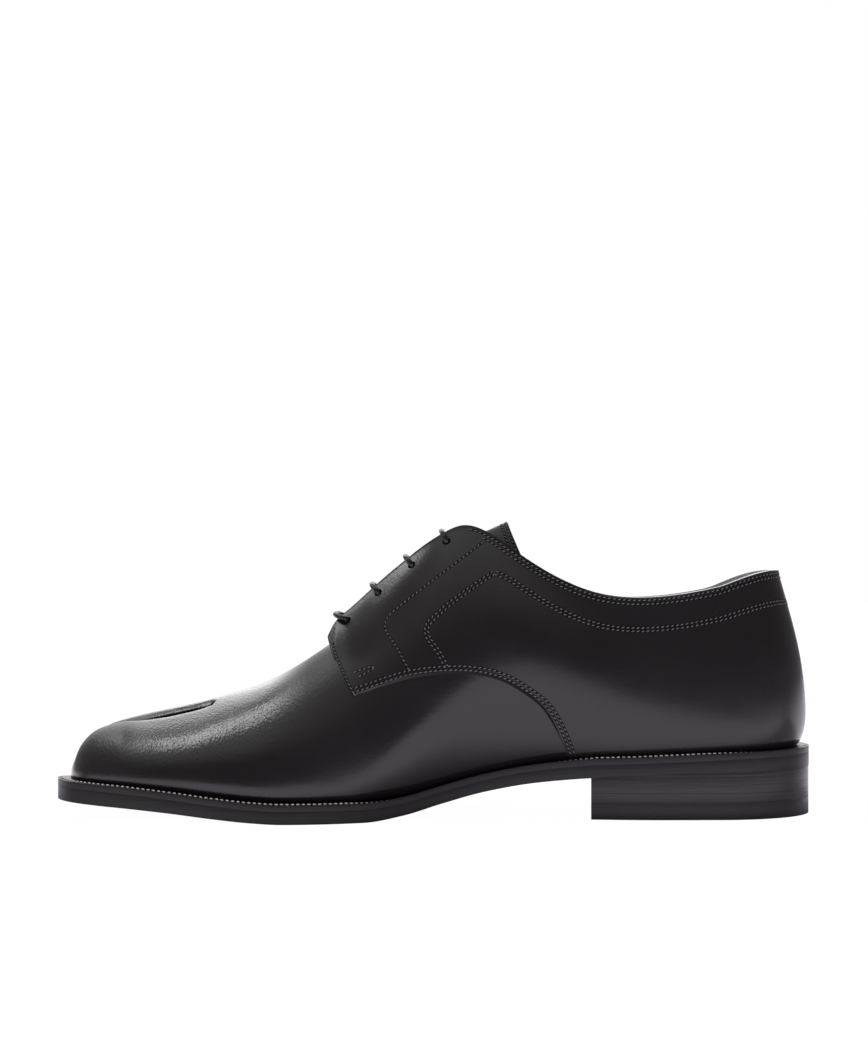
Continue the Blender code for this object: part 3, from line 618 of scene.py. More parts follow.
    def on_vamp(self, side: Side, station: float, height: float) -> np.ndarray:
        """Point of the quarter, pushed out where the vamp under it stands out further.

        Args:
            side: Side of the shoe.
            station: Place along the shoe.
            height: Height of the point.

        Returns:
            The point.
        """
        point = at_height(self.quarter_rib(side, station), height)
        share = 1 - soft_step((station - THROAT_X) / self.wing_blend)
        dome = self.dome_rib(side, station)
        if not share or height > dome[-1][2] - self.crown_room:
            return point
        ahead = (at_height(dome, height)[1] - point[1]) * side.value
        push = (ahead + math.hypot(ahead, self.flap_ease)) / 2
        return point + np.array([0.0, side.value * push * share, 0.0])

    def facing_frame(self, side: Side, x: float) -> tuple[np.ndarray, np.ndarray, np.ndarray]:
        """Places an eyelet on the facing.

        Args:
            side: Side of the shoe.
            x: X of the eyelet.

        Returns:
            The eyelet's place, the nearest place on the facing's edge, and the outward normal there.
        """
        edge = self.top_edge(side, x)
        place = at_height(self.quarter_rib(side, x), edge[2] - self.eyelet_drop)
        run = self.top_edge(side, x + self.edge_step) - self.top_edge(side, x - self.edge_step)
        run = run / np.linalg.norm(run)
        edge = edge + run * np.dot(place - edge, run)
        normal = np.cross(run, edge - place) * -side.value
        return place, edge, normal / np.linalg.norm(normal)

    def plan_edges(
        self, side: Side, stations: np.ndarray, reach: Callable[[float], float], notch: float,
        notch_end: float,
    ) -> tuple[np.ndarray, np.ndarray, np.ndarray]:
        """Outlines a flat piece of the bottom, in plan.

        Args:
            side: Side of the shoe.
            stations: Stations of the outline, from toe to heel.
            reach: How far the outer edge stands out from the feather edge at a station.
            notch: How far the inner edge stands out from the wall of the cleft.
            notch_end: X behind which the inner edge is the shoe's middle line.

        Returns:
            Outer edge, inner edge, and the outward direction at the outer edge, one row a station.
        """
        outer = np.array([self.feather(side, s)[:2] for s in stations])
        toe = [s for s, point in zip(stations, outer) if point[0] < notch_end]
        opened = [math.sqrt(min(1.0, (notch_end - x) / self.notch_round)) for x, _ in outer[:len(toe)]]
        gaps = [side.value * CLEFT.at("half_gap", s) * share for s, share in zip(toe, opened)]
        wall = [(x, CLEFT_Y + gap) for (x, _), gap in zip(outer, gaps)]
        ring = np.vstack([outer[-2] * (1, -1), outer[::-1], *wall[1:]])
        run = np.gradient(ring, axis=0)
        normal = np.stack([-run[:, 1], run[:, 0]], axis=1) * -side.value
        normal = (normal / np.maximum(np.linalg.norm(normal, axis=1), 1e-9)[:, None])[1:]
        count = len(stations)
        edge_reach = np.array([reach(s) for s in stations])
        out = normal[:count][::-1]
        outer = outer + out * edge_reach[:, None]
        middle = [self.along(side, s, FEATHER_BACK + edge_reach[-1])[0] for s in stations]
        inner = [np.array([x, self.middle_y(x)]) for x in middle]
        for i, (station, point) in enumerate(zip(toe, wall)):
            fade = soft_step((station - TOE_END) / self.notch_fade)
            push = (edge_reach[0] * (1 - fade) + notch * fade) * opened[i]
            inner[i] = outer[0] if i == 0 else point + normal[count + i - 1] * push
        return outer, np.array(inner), out


def to_metres(points: np.ndarray) -> np.ndarray:
    """Points of the shoe's frame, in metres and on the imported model's place."""
    return (points + np.array([CENTRE_X, 0.0, 0.0])) * MM


def select_only(*pieces: Object) -> None:
    """Selects these objects alone, the first one active."""
    bpy.ops.object.select_all(action="DESELECT")
    for piece in pieces:
        piece.select_set(True)
    bpy.context.view_layer.objects.active = pieces[0]


@contextmanager
def editing(piece: Object) -> Iterator[None]:
    """Edit mode on one object, with all of its mesh selected."""
    select_only(piece)
    bpy.ops.object.mode_set(mode="EDIT")
    bpy.ops.mesh.select_all(action="SELECT")
    yield
    bpy.ops.object.mode_set(mode="OBJECT")


def grid_piece(name: str, points: np.ndarray, flip: bool) -> Object:
    """A grid pulled over sections of the shoe.

    Args:
        name: Name of the object.
        points: Sections, rows by columns by XYZ, in millimetres.
        flip: Whether to turn the faces round.

    Returns:
        The new object, at the origin.
    """
    rows, columns = points.shape[:2]
    bpy.ops.object.select_all(action="DESELECT")
    bpy.ops.mesh.primitive_grid_add(x_subdivisions=columns - 1, y_subdivisions=rows - 1, size=1.0)
    piece = bpy.context.object
    piece.name = piece.data.name = name
    piece.data.vertices.foreach_set("co", to_metres(points).ravel())
    piece.data.update()
    if flip:
        with editing(piece):
            bpy.ops.mesh.flip_normals()
    return piece


def joined(name: str, pieces: Sequence[Object], weld: float = 0.02) -> Object:
    """Several objects as one, with the points that coincide merged.

    Args:
        name: Name of the result.
        pieces: Objects to join.
        weld: Distance in millimetres under which points merge.

    Returns:
        The joined object.
    """
    select_only(*pieces)
    if len(pieces) > 1:
        bpy.ops.object.join()
    piece = bpy.context.object
    piece.name = piece.data.name = name
    with editing(piece):
        bpy.ops.mesh.remove_doubles(threshold=weld * MM)
    return piece


def apply_modifier(piece: Object, kind: str, **settings: object) -> None:
    """Adds a modifier with its settings and applies it."""
    modifier = piece.modifiers.new(kind.lower(), kind)
    for name, value in settings.items():
        setattr(modifier, name, value)
    select_only(piece)
    bpy.ops.object.modifier_apply(modifier=modifier.name)


def subdivide(piece: Object, levels: int, boundary: str = "PRESERVE_CORNERS") -> None:
    """Rounds a cage of sections into a smooth surface."""
    apply_modifier(piece, "SUBSURF", levels=levels, render_levels=levels, boundary_smooth=boundary)


def break_edges(piece: Object, width: float, segments: int) -> None:
    """Bevels the sharp edges of a piece, with a width in millimetres."""
    sharp = math.radians(50)
    apply_modifier(
        piece, "BEVEL", width=width * MM, segments=segments, limit_method="ANGLE", angle_limit=sharp
    )


def smooth_shade(piece: Object, angle: float = 50.0) -> None:
    """Smooth shading that keeps edges sharper than an angle in degrees."""
    select_only(piece)
    bpy.ops.object.shade_smooth_by_angle(angle=math.radians(angle))


def settle(piece: Object, slot: str, *nodes: str) -> Object:
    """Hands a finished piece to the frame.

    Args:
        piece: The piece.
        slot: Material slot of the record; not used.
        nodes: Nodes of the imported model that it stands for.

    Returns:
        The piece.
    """
    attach(piece, "root")
    if nodes:
        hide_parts(*nodes)
    LOG.info("%s: %d faces", piece.name, len(piece.data.polygons))
    return piece


def linear(colour: str) -> tuple[float, float, float, float]:
    """An sRGB hex colour as linear RGBA."""
    values = [int(colour[i:i + 2], 16) / 255 for i in (1, 3, 5)]
    return (*(v / 12.92 if v <= 0.04045 else ((v + 0.055) / 1.055) ** 2.4 for v in values), 1.0)


def set_inputs(tree: NodeTree, node: Node, inputs: Inputs) -> None:
    """Sets inputs of a node.

    Args:
        tree: Node tree that holds it.
        node: The node.
        inputs: Value of each input by its name or number. A socket is linked, and so is the first live
            output of a node.
    """
    for name, value in inputs.items():
        if isinstance(value, Node):
            value = next(output for output in value.outputs if output.enabled)
        if isinstance(value, NodeSocket):
            tree.links.new(value, node.inputs[name])
        else:
            node.inputs[name].default_value = value


def add_node(tree: NodeTree, kind: str, inputs: Inputs | None = None, **settings: object) -> Node:
    """Adds a node with its settings and links.

    Args:
        tree: Node tree to add it to.
        kind: Type of the node, without the start that all of them share.
        inputs: Inputs to set.
        settings: Properties of the node.

    Returns:
        The node.
    """
    node = tree.nodes.new("ShaderNode" + kind)
    for name, value in settings.items():
        setattr(node, name, value)
    set_inputs(tree, node, inputs or {})
    return node


def per_mm(size: float) -> float:
    """Scale of a texture on Object coordinates whose pattern repeats every size millimetres."""
    return 1 / (size * MM)


@dataclass(frozen=True)
class Finish:
    """A named surface: its colour and gloss, with nodes for the detail that its kind shows."""

    name: str
    colour: str
    roughness: float
    specular: float = 0.5
    relief: float = 0.4

    def surface(self, tree: NodeTree, place: NodeSocket) -> Inputs:
        """Detail of the surface.

        Args:
            tree: Node tree of the material.
            place: Object coordinates.

        Returns:
            Inputs of the shader.
        """
        raise NotImplementedError

    def make(self) -> Material:
        """Builds the material."""
        made = bpy.data.materials.new(self.name)
        made.use_nodes = True
        tree = made.node_tree
        place = add_node(tree, "TexCoord").outputs["Object"]
        plain = {"Base Color": linear(self.colour), "Roughness": self.roughness}
        plain["Specular IOR Level"] = self.specular
        set_inputs(tree, tree.nodes["Principled BSDF"], plain | self.surface(tree, place))
        return made


@dataclass(frozen=True)
class PolishedCalf(Finish):
    """Smooth box calf, dyed through and polished: deep black with soft, slightly grainy highlights."""

    relief: float = 0.6
    steep_relief: float = 0.15
    worn_colour: str = "#1f191c"
    cloud_mm: float = 26.0
    cloud_span: tuple[float, float] = (0.3, 0.7)
    cloud_gloss: tuple[float, float] = (-0.03, 0.04)
    # Real pores of about 0.3 mm would not show, so they are drawn three times as coarse, and longer still
    # across and up the shoe, where the slopes are seen foreshortened
    pore_mm: float = 0.9
    fine_pore_mm: float = 0.72
    pore_stretch: float = 1.7
    pore_depth_mm: float = 0.05
    pore_slopes: tuple[float, float] = (0.25, 0.7)
    pull_mm: float = 20.0
    pull_depth_mm: float = 0.3
    top_slopes: tuple[float, float] = (0.2, 0.5)
    top_parts: tuple[tuple[float, float, float], ...] = ()

    def surface(self, tree: NodeTree, place: NodeSocket) -> Inputs:
        """Clouded dye and gloss, a slow pull over the last, and pores that show most on flat leather."""
        cloud = add_node(tree, "TexNoise", {"Vector": place, "Scale": per_mm(self.cloud_mm), "Detail": 3.0})
        tone = add_node(
            tree, "Mix", {0: cloud, 6: linear(self.colour), 7: linear(self.worn_colour)}, data_type="RGBA"
        )
        pale, dark = self.cloud_span
        keen, dull = (self.roughness + change for change in self.cloud_gloss)
        gloss = add_node(
            tree, "MapRange",
            {"Value": cloud, "From Min": pale, "From Max": dark, "To Min": keen, "To Max": dull},
        )
        facing = add_node(tree, "NewGeometry").outputs["Normal"]
        slope = add_node(tree, "SeparateXYZ", {0: facing}).outputs["Z"]
        along = add_node(tree, "SeparateXYZ", {0: place}).outputs["X"]
        for start, end, roughness in self.top_parts:
            steep, flat = self.top_slopes
            level = add_node(tree, "MapRange", {"Value": slope, "From Min": steep, "From Max": flat})
            reach = {"Value": along, "From Min": start * MM, "From Max": end * MM}
            change = add_node(tree, "MapRange", reach | {"To Max": roughness - self.roughness})
            gloss = add_node(tree, "Math", {0: change, 1: level, 2: gloss}, operation="MULTIPLY_ADD")
        pull = add_node(tree, "TexNoise", {"Vector": place, "Scale": per_mm(self.pull_mm), "Detail": 1.0})
        swell = add_node(tree, "Bump", {"Height": pull, "Strength": 1.0, "Distance": self.pull_depth_mm * MM})
        across = 1 / self.pore_stretch
        stretched = add_node(tree, "Mapping", {"Vector": place, "Scale": (1.0, across, across)})
        coarse, fine = per_mm(self.pore_mm), per_mm(self.fine_pore_mm)
        pores = add_node(tree, "TexVoronoi", {"Vector": stretched, "Scale": coarse}, feature="SMOOTH_F1")
        specks = add_node(tree, "TexNoise", {"Vector": stretched, "Scale": fine, "Detail": 1.0})
        grain = add_node(tree, "Math", {0: pores, 1: specks})
        steep, flat = self.pore_slopes
        reach = {"Value": slope, "From Min": steep, "From Max": flat}
        relief = add_node(tree, "MapRange", reach | {"To Min": self.steep_relief, "To Max": self.relief})
        bump = add_node(
            tree, "Bump",
            {"Height": grain, "Strength": relief, "Distance": self.pore_depth_mm * MM, "Normal": swell},
        )
        return {"Base Color": tone, "Roughness": gloss, "Normal": bump}


@dataclass(frozen=True)
class LiningLeather(Finish):
    """Vegetable-tanned calf lining: pale, dry and fine-pored, a little darker where it is handled."""

    shade: str = "#8f7456"
    pore_mm: float = 0.9
    pore_depth_mm: float = 0.05
    cloud_mm: float = 18.0

    def surface(self, tree: NodeTree, place: NodeSocket) -> Inputs:
        """Darker patches and fine pores."""
        cloud = add_node(tree, "TexNoise", {"Vector": place, "Scale": per_mm(self.cloud_mm), "Detail": 5.0})
        colours = {6: linear(self.colour), 7: linear(self.shade)}
        tone = add_node(tree, "Mix", {0: cloud} | colours, data_type="RGBA")
        pores = add_node(tree, "TexVoronoi", {"Vector": place, "Scale": per_mm(self.pore_mm)})
        deep = self.pore_depth_mm * MM
        bump = add_node(tree, "Bump", {"Height": pores, "Strength": self.relief, "Distance": deep})
        return {"Base Color": tone, "Normal": bump}


@dataclass(frozen=True)
class InkedEdge(Finish):
    """Sole leather with an inked and waxed edge: near black, with the faint streaks of the trimming knife."""

    relief: float = 0.6
    streak_colour: str = "#3a373a"
    streak_long_mm: float = 24.0
    streak_high_mm: float = 0.8
    streak_depth_mm: float = 0.08
    streak_span: tuple[float, float] = (0.42, 0.72)
    # Painted shade: the edge is darker ahead of the reach below (X in millimetres), standing in for the shade
    # it lies in near the forefoot, and takes this lighter colour behind it
    colour_behind_painted_shade: str = ""
    painted_shade_reach_mm: tuple[float, float] = (-45.0, 25.0)
    lift_mm: float = 0.0
    groove_share: float = 0.06

    def surface(self, tree: NodeTree, place: NodeSocket) -> Inputs:
        """Knife streaks, painted shade that darkens the edge ahead of its rear reach, and thin grooves where
        lifts meet.
        """
        size = (per_mm(self.streak_long_mm),) * 2 + (per_mm(self.streak_high_mm),)
        stretched = add_node(tree, "Mapping", {"Vector": place, "Scale": size})
        streaks = add_node(tree, "TexNoise", {"Vector": stretched, "Scale": 1.0, "Detail": 3.0})
        none, full = self.streak_span
        share = add_node(tree, "MapRange", {"Value": streaks, "From Min": none, "From Max": full})
        along, _, up = add_node(tree, "SeparateXYZ", {0: place}).outputs
        start, end = (reach * MM for reach in self.painted_shade_reach_mm)
        # Painted shade: the darker colour ahead, the lighter one towards the heel
        unshaded_share = add_node(tree, "MapRange", {"Value": along, "From Min": start, "From Max": end})
        colours = {6: linear(self.colour), 7: linear(self.colour_behind_painted_shade or self.colour)}
        ground = add_node(tree, "Mix", {0: unshaded_share} | colours, data_type="RGBA")
        tone = add_node(tree, "Mix", {0: share, 6: ground, 7: linear(self.streak_colour)}, data_type="RGBA")
        height = streaks
        if self.lift_mm:
            lifts = add_node(tree, "Math", {0: up, 1: per_mm(self.lift_mm)}, operation="MULTIPLY")
            part = add_node(tree, "Math", {0: lifts}, operation="FRACT")
            groove = add_node(tree, "MapRange", {"Value": part, "From Max": self.groove_share})
            height = add_node(tree, "Math", {0: groove, 1: streaks})
        deep = self.streak_depth_mm * MM
        bump = add_node(tree, "Bump", {"Height": height, "Strength": self.relief, "Distance": deep})
        return {"Base Color": tone, "Normal": bump}


@dataclass(frozen=True)
class SoleLeather(Finish):
    """Bend leather of the tread, stained dark and buffed: matt, with a fibrous mottle and light scuffs."""

    shade: str = "#3c3430"
    mottle_mm: float = 8.4
    fibre_depth_mm: float = 0.15

    def surface(self, tree: NodeTree, place: NodeSocket) -> Inputs:
        """Mottle with finer and finer fibres in it."""
        fibre = add_node(tree, "TexNoise", {"Vector": place, "Scale": per_mm(self.mottle_mm), "Detail": 8.0})
        colours = {6: linear(self.colour), 7: linear(self.shade)}
        tone = add_node(tree, "Mix", {0: fibre} | colours, data_type="RGBA")
        deep = self.fibre_depth_mm * MM
        bump = add_node(tree, "Bump", {"Height": fibre, "Strength": self.relief, "Distance": deep})
        return {"Base Color": tone, "Normal": bump}


@dataclass(frozen=True)
class Thread(Finish):
    """Twisted sewing thread, waxed: each stitch catches the light along its plies."""

    relief: float = 0.5
    # Twice as wide as real plies, which would be too fine to show
    ply_mm: float = 0.5
    ply_depth_mm: float = 0.08

    def surface(self, tree: NodeTree, place: NodeSocket) -> Inputs:
        """Slanted plies."""
        plies = add_node(
            tree, "TexWave", {"Vector": place, "Scale": per_mm(self.ply_mm) / BAND_SCALE, "Distortion": 2.0},
            bands_direction="DIAGONAL",
        ).outputs["Fac"]
        deep = self.ply_depth_mm * MM
        bump = add_node(tree, "Bump", {"Height": plies, "Strength": self.relief, "Distance": deep})
        return {"Normal": bump}


@dataclass(frozen=True)
class WaxedCord(Finish):
    """Round waxed cotton lace: a fine braid, dark with small glints on its plies."""

    relief: float = 0.7
    # About twice as wide as real plies, which would be too fine to show
    ply_mm: float = 0.7
    ply_depth_mm: float = 0.15

    def surface(self, tree: NodeTree, place: NodeSocket) -> Inputs:
        """Plies that cross."""
        size = {"Vector": place, "Scale": per_mm(self.ply_mm) / BAND_SCALE, "Distortion": 1.0}
        plies = [add_node(tree, "TexWave", size, bands_direction=way).outputs["Fac"] for way in ("X", "Z")]
        braid = add_node(tree, "Math", {0: plies[0], 1: plies[1]}, operation="MULTIPLY")
        deep = self.ply_depth_mm * MM
        bump = add_node(tree, "Bump", {"Height": braid, "Strength": self.relief, "Distance": deep})
        return {"Normal": bump}


@dataclass(frozen=True)
class HeelRubber(Finish):
    """Moulded rubber of the top piece: matt black with a fine even tooth."""

    tooth_mm: float = 0.5
    tooth_depth_mm: float = 0.06

    def surface(self, tree: NodeTree, place: NodeSocket) -> Inputs:
        """Even tooth."""
        tooth = add_node(tree, "TexNoise", {"Vector": place, "Scale": per_mm(self.tooth_mm), "Detail": 4.0})
        deep = self.tooth_depth_mm * MM
        bump = add_node(tree, "Bump", {"Height": tooth, "Strength": self.relief, "Distance": deep})
        return {"Normal": bump}


@dataclass
class Upper:
    """Vamp with its cloven toe, both quarters and their lining."""

    last: Last
    grained: Material
    leather: Material
    lining: Material
    vamp_thick: float = 1.4
    quarter_thick: float = 1.3
    quarter_sink: float = 0.15
    lining_thick: float = 0.9
    flap_lift: float = 1.1
    flap_reach: float = 18.0
    lining_proud: float = 0.7
    edge_roll: float = 0.35
    front_roll: float = 0.12
    trim_rows: int = 6
    trim_ahead: int = 4
    trim_end: tuple[float, float] = (2.0, 14.0)
    foot_end: float = 2.0
    quarter_bevel: tuple[float, int] = (0.3, 3)
    lining_bevel: tuple[float, int] = (0.2, 2)
    eyelet_x: tuple[float, ...] = (5.4, -8.2, -21.4, -34.1)
    eyelet_radius: float = 1.7
    punch_depth: float = 9.0
    vamp_columns: tuple[int, int, int] = (7, 4, 3)
    quarter_shares: tuple[float, ...] = (
        0.0, 0.012, 0.03, 0.06, 0.105, *np.linspace(0.16, 0.93, 12), 0.98, 1.0,
    )
    levels: int = 2
    vamp_stations: tuple[float, ...] = (
        *np.linspace(TOE_END, -112.0, 16), *np.linspace(-108.5, -97.5, 4),
        -95.5, -93.8, -92.2, -90.8, -89.4, CLEFT_END, -86.5, -84.5, *np.linspace(-81.0, THROAT_X, 14),
    )
    wing_stations: tuple[float, ...] = tuple(np.linspace(THROAT_X, 54.0, 20))
    quarter_stations: tuple[float, ...] = (
        QUARTER_EDGE.first, -30.6, -29.5, -27.9, -25.7, -22.9, *np.linspace(-19.5, QUARTER_EDGE.last, 19),
        *np.linspace(56.5, HEEL_END, 30),
    )

    def vamp(self) -> Object:
        """Front of the upper: two halves that meet along the crown and round the end of the cleft."""
        halves = []
        for side in Side:
            full = np.array([self.last.vamp_rib(side, s, self.vamp_columns) for s in self.vamp_stations])
            wings = np.array([self.last.wing_rib(side, s) for s in self.wing_stations])
            wings[0] = full[-1][:len(self.last.side_shares)]
            halves += [grid_piece("vamp_part", part, side is Side.MEDIAL) for part in (full, wings)]
        piece = joined("vamp", halves)
        subdivide(piece, self.levels)
        piece.data.materials.append(self.grained)
        piece.data.materials.append(self.lining)
        apply_modifier(piece, "SOLIDIFY", thickness=self.vamp_thick * MM, offset=-1.0, material_offset=1)
        smooth_shade(piece)
        return piece

    def quarter_surface(self, name: str, trim: float) -> Object:
        """Both quarters as one open surface round the heel, lifted where the flaps lie on the vamp.

        Args:
            name: Name of the object.
            trim: How far to cut it back along the facings and their front edges.

        Returns:
            The surface.
        """
        shares = np.array(self.quarter_shares)
        halves = []
        for side in Side:
            stations = np.array(self.quarter_stations)
            rows = np.array([self.last.quarter_row(side, s, shares) for s in stations])
            for i in range(self.trim_rows):
                back = rows[i + self.trim_ahead] - rows[i]
                back /= np.linalg.norm(back, axis=1)[:, None]
                rows[i] += back * trim * (1 - soft_step(i / self.trim_rows))
            start, end = self.trim_end
            for row in rows:
                back = row[-2] - row[-1]
                kept = soft_step((row[-1][0] - start) / (end - start))
                row[-1] += back / np.linalg.norm(back) * trim * (1 - kept)
            run, rise = np.gradient(rows, axis=0), np.gradient(rows, axis=1)
            normal = np.cross(run, rise) * side.value
            normal /= np.maximum(np.linalg.norm(normal, axis=2), 1e-9)[..., None]
            reach = QUARTER_EDGE.first + self.flap_reach
            lift = [self.flap_lift * soft_step((reach - s) / self.flap_reach) for s in self.quarter_stations]
            lifts = np.repeat(np.array(lift)[:, None], len(shares), axis=1)
            lifts[0] -= self.front_roll
            lifts[:, -1] -= self.edge_roll
            lifts[stations < QUARTER_EDGE.last - self.foot_end, 0] -= self.edge_roll
            rows += normal * lifts[..., None]
            halves.append(grid_piece(name, rows, side is Side.MEDIAL))
        return joined(name, halves)

    def layer(
        self, name: str, trim: float, finishes: Sequence[Material], thick: float, offset: float,
        bevel: tuple[float, int],
    ) -> Object:
        """One layer of both quarters, with its cut edges and eyelets.

        Args:
            name: Name of the piece.
            trim: How far to cut it back along the facings.
            finishes: Finish of its outer face and, last, of its inner face.
            thick: Thickness of the layer.
            offset: How its thickness lies about the surface, from -1 inside to 1 outside.
            bevel: Width and segments of the bevel on its cut edges.

        Returns:
            The layer.
        """
        piece = self.quarter_surface(name, trim)
        subdivide(piece, self.levels, "ALL")
        for finish in finishes:
            piece.data.materials.append(finish)
        apply_modifier(
            piece, "SOLIDIFY", thickness=thick * MM, offset=offset, use_even_offset=True,
            material_offset=len(finishes) - 1,
        )
        break_edges(piece, *bevel)
        self.punch(piece)
        smooth_shade(piece)
        return piece

    def quarters(self) -> Object:
        """Outer leather of both quarters."""
        thick = self.quarter_thick + self.quarter_sink
        offset = (2 * self.quarter_thick - thick) / thick
        return self.layer("quarters", self.lining_proud, (self.leather,), thick, offset, self.quarter_bevel)

    def quarter_lining(self) -> Object:
        """Lining of the quarters, faced with black leather that shows as a second edge along the facings."""
        offset = -1.0 - 2 * self.quarter_sink / self.lining_thick
        finishes = (self.leather, self.lining)
        return self.layer("quarter_lining", 0.0, finishes, self.lining_thick, offset, self.lining_bevel)

    def punch(self, piece: Object) -> None:
        """Punches the eyelets through both facings of a piece."""
        pins = []
        for side in Side:
            for x in self.eyelet_x:
                place, _, normal = self.last.facing_frame(side, x)
                bpy.ops.object.select_all(action="DESELECT")
                bpy.ops.mesh.primitive_cylinder_add(
                    vertices=20, radius=self.eyelet_radius * MM, depth=self.punch_depth * MM,
                    location=to_metres(place),
                    rotation=Vector(normal).to_track_quat("Z", "Y").to_euler(),
                )
                pins.append(bpy.context.object)
        punch = joined("eyelet_punch", pins, 0.0)
        apply_modifier(piece, "BOOLEAN", operation="DIFFERENCE", object=punch, solver="EXACT")
        bpy.data.objects.remove(punch)

    def build(self) -> list[Object]:
        """Builds the upper's pieces, the quarters second."""
        return [
            settle(self.vamp(), "upper_leather", "upper"),
            settle(self.quarters(), "upper_leather", "upper"),
            settle(self.quarter_lining(), "upper_leather", "upper"),
        ]


@dataclass
class Tongue:
    """Arched strip under the facings, with its end standing above them."""

    leather: Material
    lining: Material
    thick: float = 2.0
    edge: float = 0.35
    tip_sweep: float = 7.7
    sweep_reach: tuple[float, float] = (5.0, 29.0)
    arch_power: float = 1.8
    rows: int = 26
    columns: int = 16

    def point(self, x: float, across: float) -> np.ndarray:
        """Point of the tongue's face at a place along it and a share of its half-width."""
        height, half, fall = (TONGUE.at(name, x) for name in ("height", "half_width", "fall"))
        start, end = self.sweep_reach
        sweep = self.tip_sweep * soft_step((x - start) / (end - start))
        arch = fall * abs(across) ** self.arch_power
        return np.array([x + sweep * across**2, half * across, height - arch])

    def build(self) -> Object:
        """Builds the tongue."""
        shares = np.linspace(-1, 1, self.columns + 1)
        places = np.linspace(TONGUE.first, TONGUE.last, self.rows + 1)
        piece = grid_piece("tongue", np.array([[self.point(x, t) for t in shares] for x in places]), True)
        subdivide(piece, 2)
        piece.data.materials.append(self.leather)
        piece.data.materials.append(self.lining)
        apply_modifier(piece, "SOLIDIFY", thickness=self.thick * MM, offset=-1.0, material_offset=1)
        break_edges(piece, self.edge, 2)
        smooth_shade(piece)
        return settle(piece, "tongue_leather", "tongue")


@dataclass(frozen=True)
class Stitch:
    """Size of one stitch and the way that it lies in its row."""

    pitch: float
    length: float
    width: float
    height: float
    slant: float = 8.0
    rise: float = 0.0
    smallest: float = 0.4

    def model(self) -> tuple[np.ndarray, list[tuple[int, ...]]]:
        """Models one stitch along X, half of it over Z = 0.

        Returns:
            Its points in millimetres, and its faces.
        """
        bpy.ops.object.select_all(action="DESELECT")
        bpy.ops.mesh.primitive_uv_sphere_add(segments=6, ring_count=5, radius=0.5)
        piece = bpy.context.object
        with editing(piece):
            bpy.ops.transform.rotate(value=math.radians(90), orient_axis="Y", center_override=(0, 0, 0))
            bpy.ops.transform.resize(value=(self.length, self.width, self.height))
        points = np.array([vertex.co[:] for vertex in piece.data.vertices])
        faces = [tuple(polygon.vertices) for polygon in piece.data.polygons]
        bpy.data.objects.remove(piece)
        return points, faces


@dataclass
class Needle:
    """Sews rows of stitches on to a finished piece."""

    ground: Object
    strip_step: float = 1.0

    def __post_init__(self) -> None:
        """Reads the piece once."""
        mesh = self.ground.data
        points = np.empty(len(mesh.vertices) * 3)
        mesh.vertices.foreach_get("co", points)
        faces = [tuple(polygon.vertices) for polygon in mesh.polygons]
        self.tree = BVHTree.FromPolygons([Vector(p) for p in points.reshape(-1, 3)], faces)

    def land(self, line: np.ndarray, pitch: float) -> list[tuple[np.ndarray, np.ndarray, np.ndarray]]:
        """Lays a line on the piece.

        Args:
            line: Points near the piece's face, in millimetres.
            pitch: Spacing of the places that it gives.

        Returns:
            Place in metres, direction across the line and outward normal of each stitch.
        """
        count = max(2, round(run_of(line)[-1] / pitch))
        ends = to_metres(spread(line, count + 1))
        landed = []
        for near, far in zip(ends, ends[1:]):
            place, normal, _, _ = self.tree.find_nearest(Vector((near + far) / 2))
            across = np.cross(np.array(normal), (far - near) / MM)
            landed.append((np.array(place), across / max(np.linalg.norm(across), 1e-9), np.array(normal)))
        return landed

    def sew(
        self, name: str, lines: Sequence[np.ndarray], stitch: Stitch,
        fades: Sequence[tuple[float, float]] = (),
    ) -> Object:
        """Sews lines of stitches as one mesh.

        Args:
            name: Name of the object.
            lines: Lines to follow, in millimetres.
            stitch: The stitch to repeat.
            fades: Length at the start and the end of each line over which the stitches sink in.

        Returns:
            The stitches.
        """
        shape, pattern = stitch.model()
        points, faces = [], []
        slant = math.tan(math.radians(stitch.slant))
        for n, line in enumerate(lines):
            landed = self.land(line, stitch.pitch)
            for i, (place, across, normal) in enumerate(landed):
                size = 1.0
                for steps, fade in zip((i, len(landed) - 1 - i), fades[n] if fades else ()):
                    size = min(size, stitch.smallest + steps * stitch.pitch / max(fade, 1e-9))
                ahead = np.cross(across, normal) + across * slant
                start = len(points) * len(shape)
                turn = np.array([ahead / np.linalg.norm(ahead), across, normal])
                points.append((shape @ turn + normal * stitch.rise) * size * MM + place)
                faces += [tuple(start + corner for corner in face) for face in pattern]
        mesh = bpy.data.meshes.new(name)
        mesh.from_pydata(np.vstack(points).tolist(), [], faces)
        piece = bpy.data.objects.new(name, mesh)
        bpy.context.scene.collection.objects.link(piece)
        smooth_shade(piece, 80.0)
        return piece

    def channel(self, name: str, lines: Sequence[np.ndarray], width: float, lift: float) -> Object:
        """Lays thin dark strips along a row of stitches: painted shade standing in for the dent that the
        stitches press into the leather.

        Args:
            name: Name of the object.
            lines: Lines to follow, in millimetres.
            width: Width of each strip.
            lift: Height of each strip over the leather.

        Returns:
            The strips.
        """
        strips = []
        for line in lines:
            rows = []
            for place, across, normal in self.land(line, self.strip_step):
                middle = place / MM - np.array([CENTRE_X, 0.0, 0.0]) + normal * lift
                rows.append([middle - across * width / 2, middle, middle + across * width / 2])
            strips.append(grid_piece(name, np.array(rows), True))
        piece = joined(name, strips, 0.0)
        smooth_shade(piece, 80.0)
        return piece


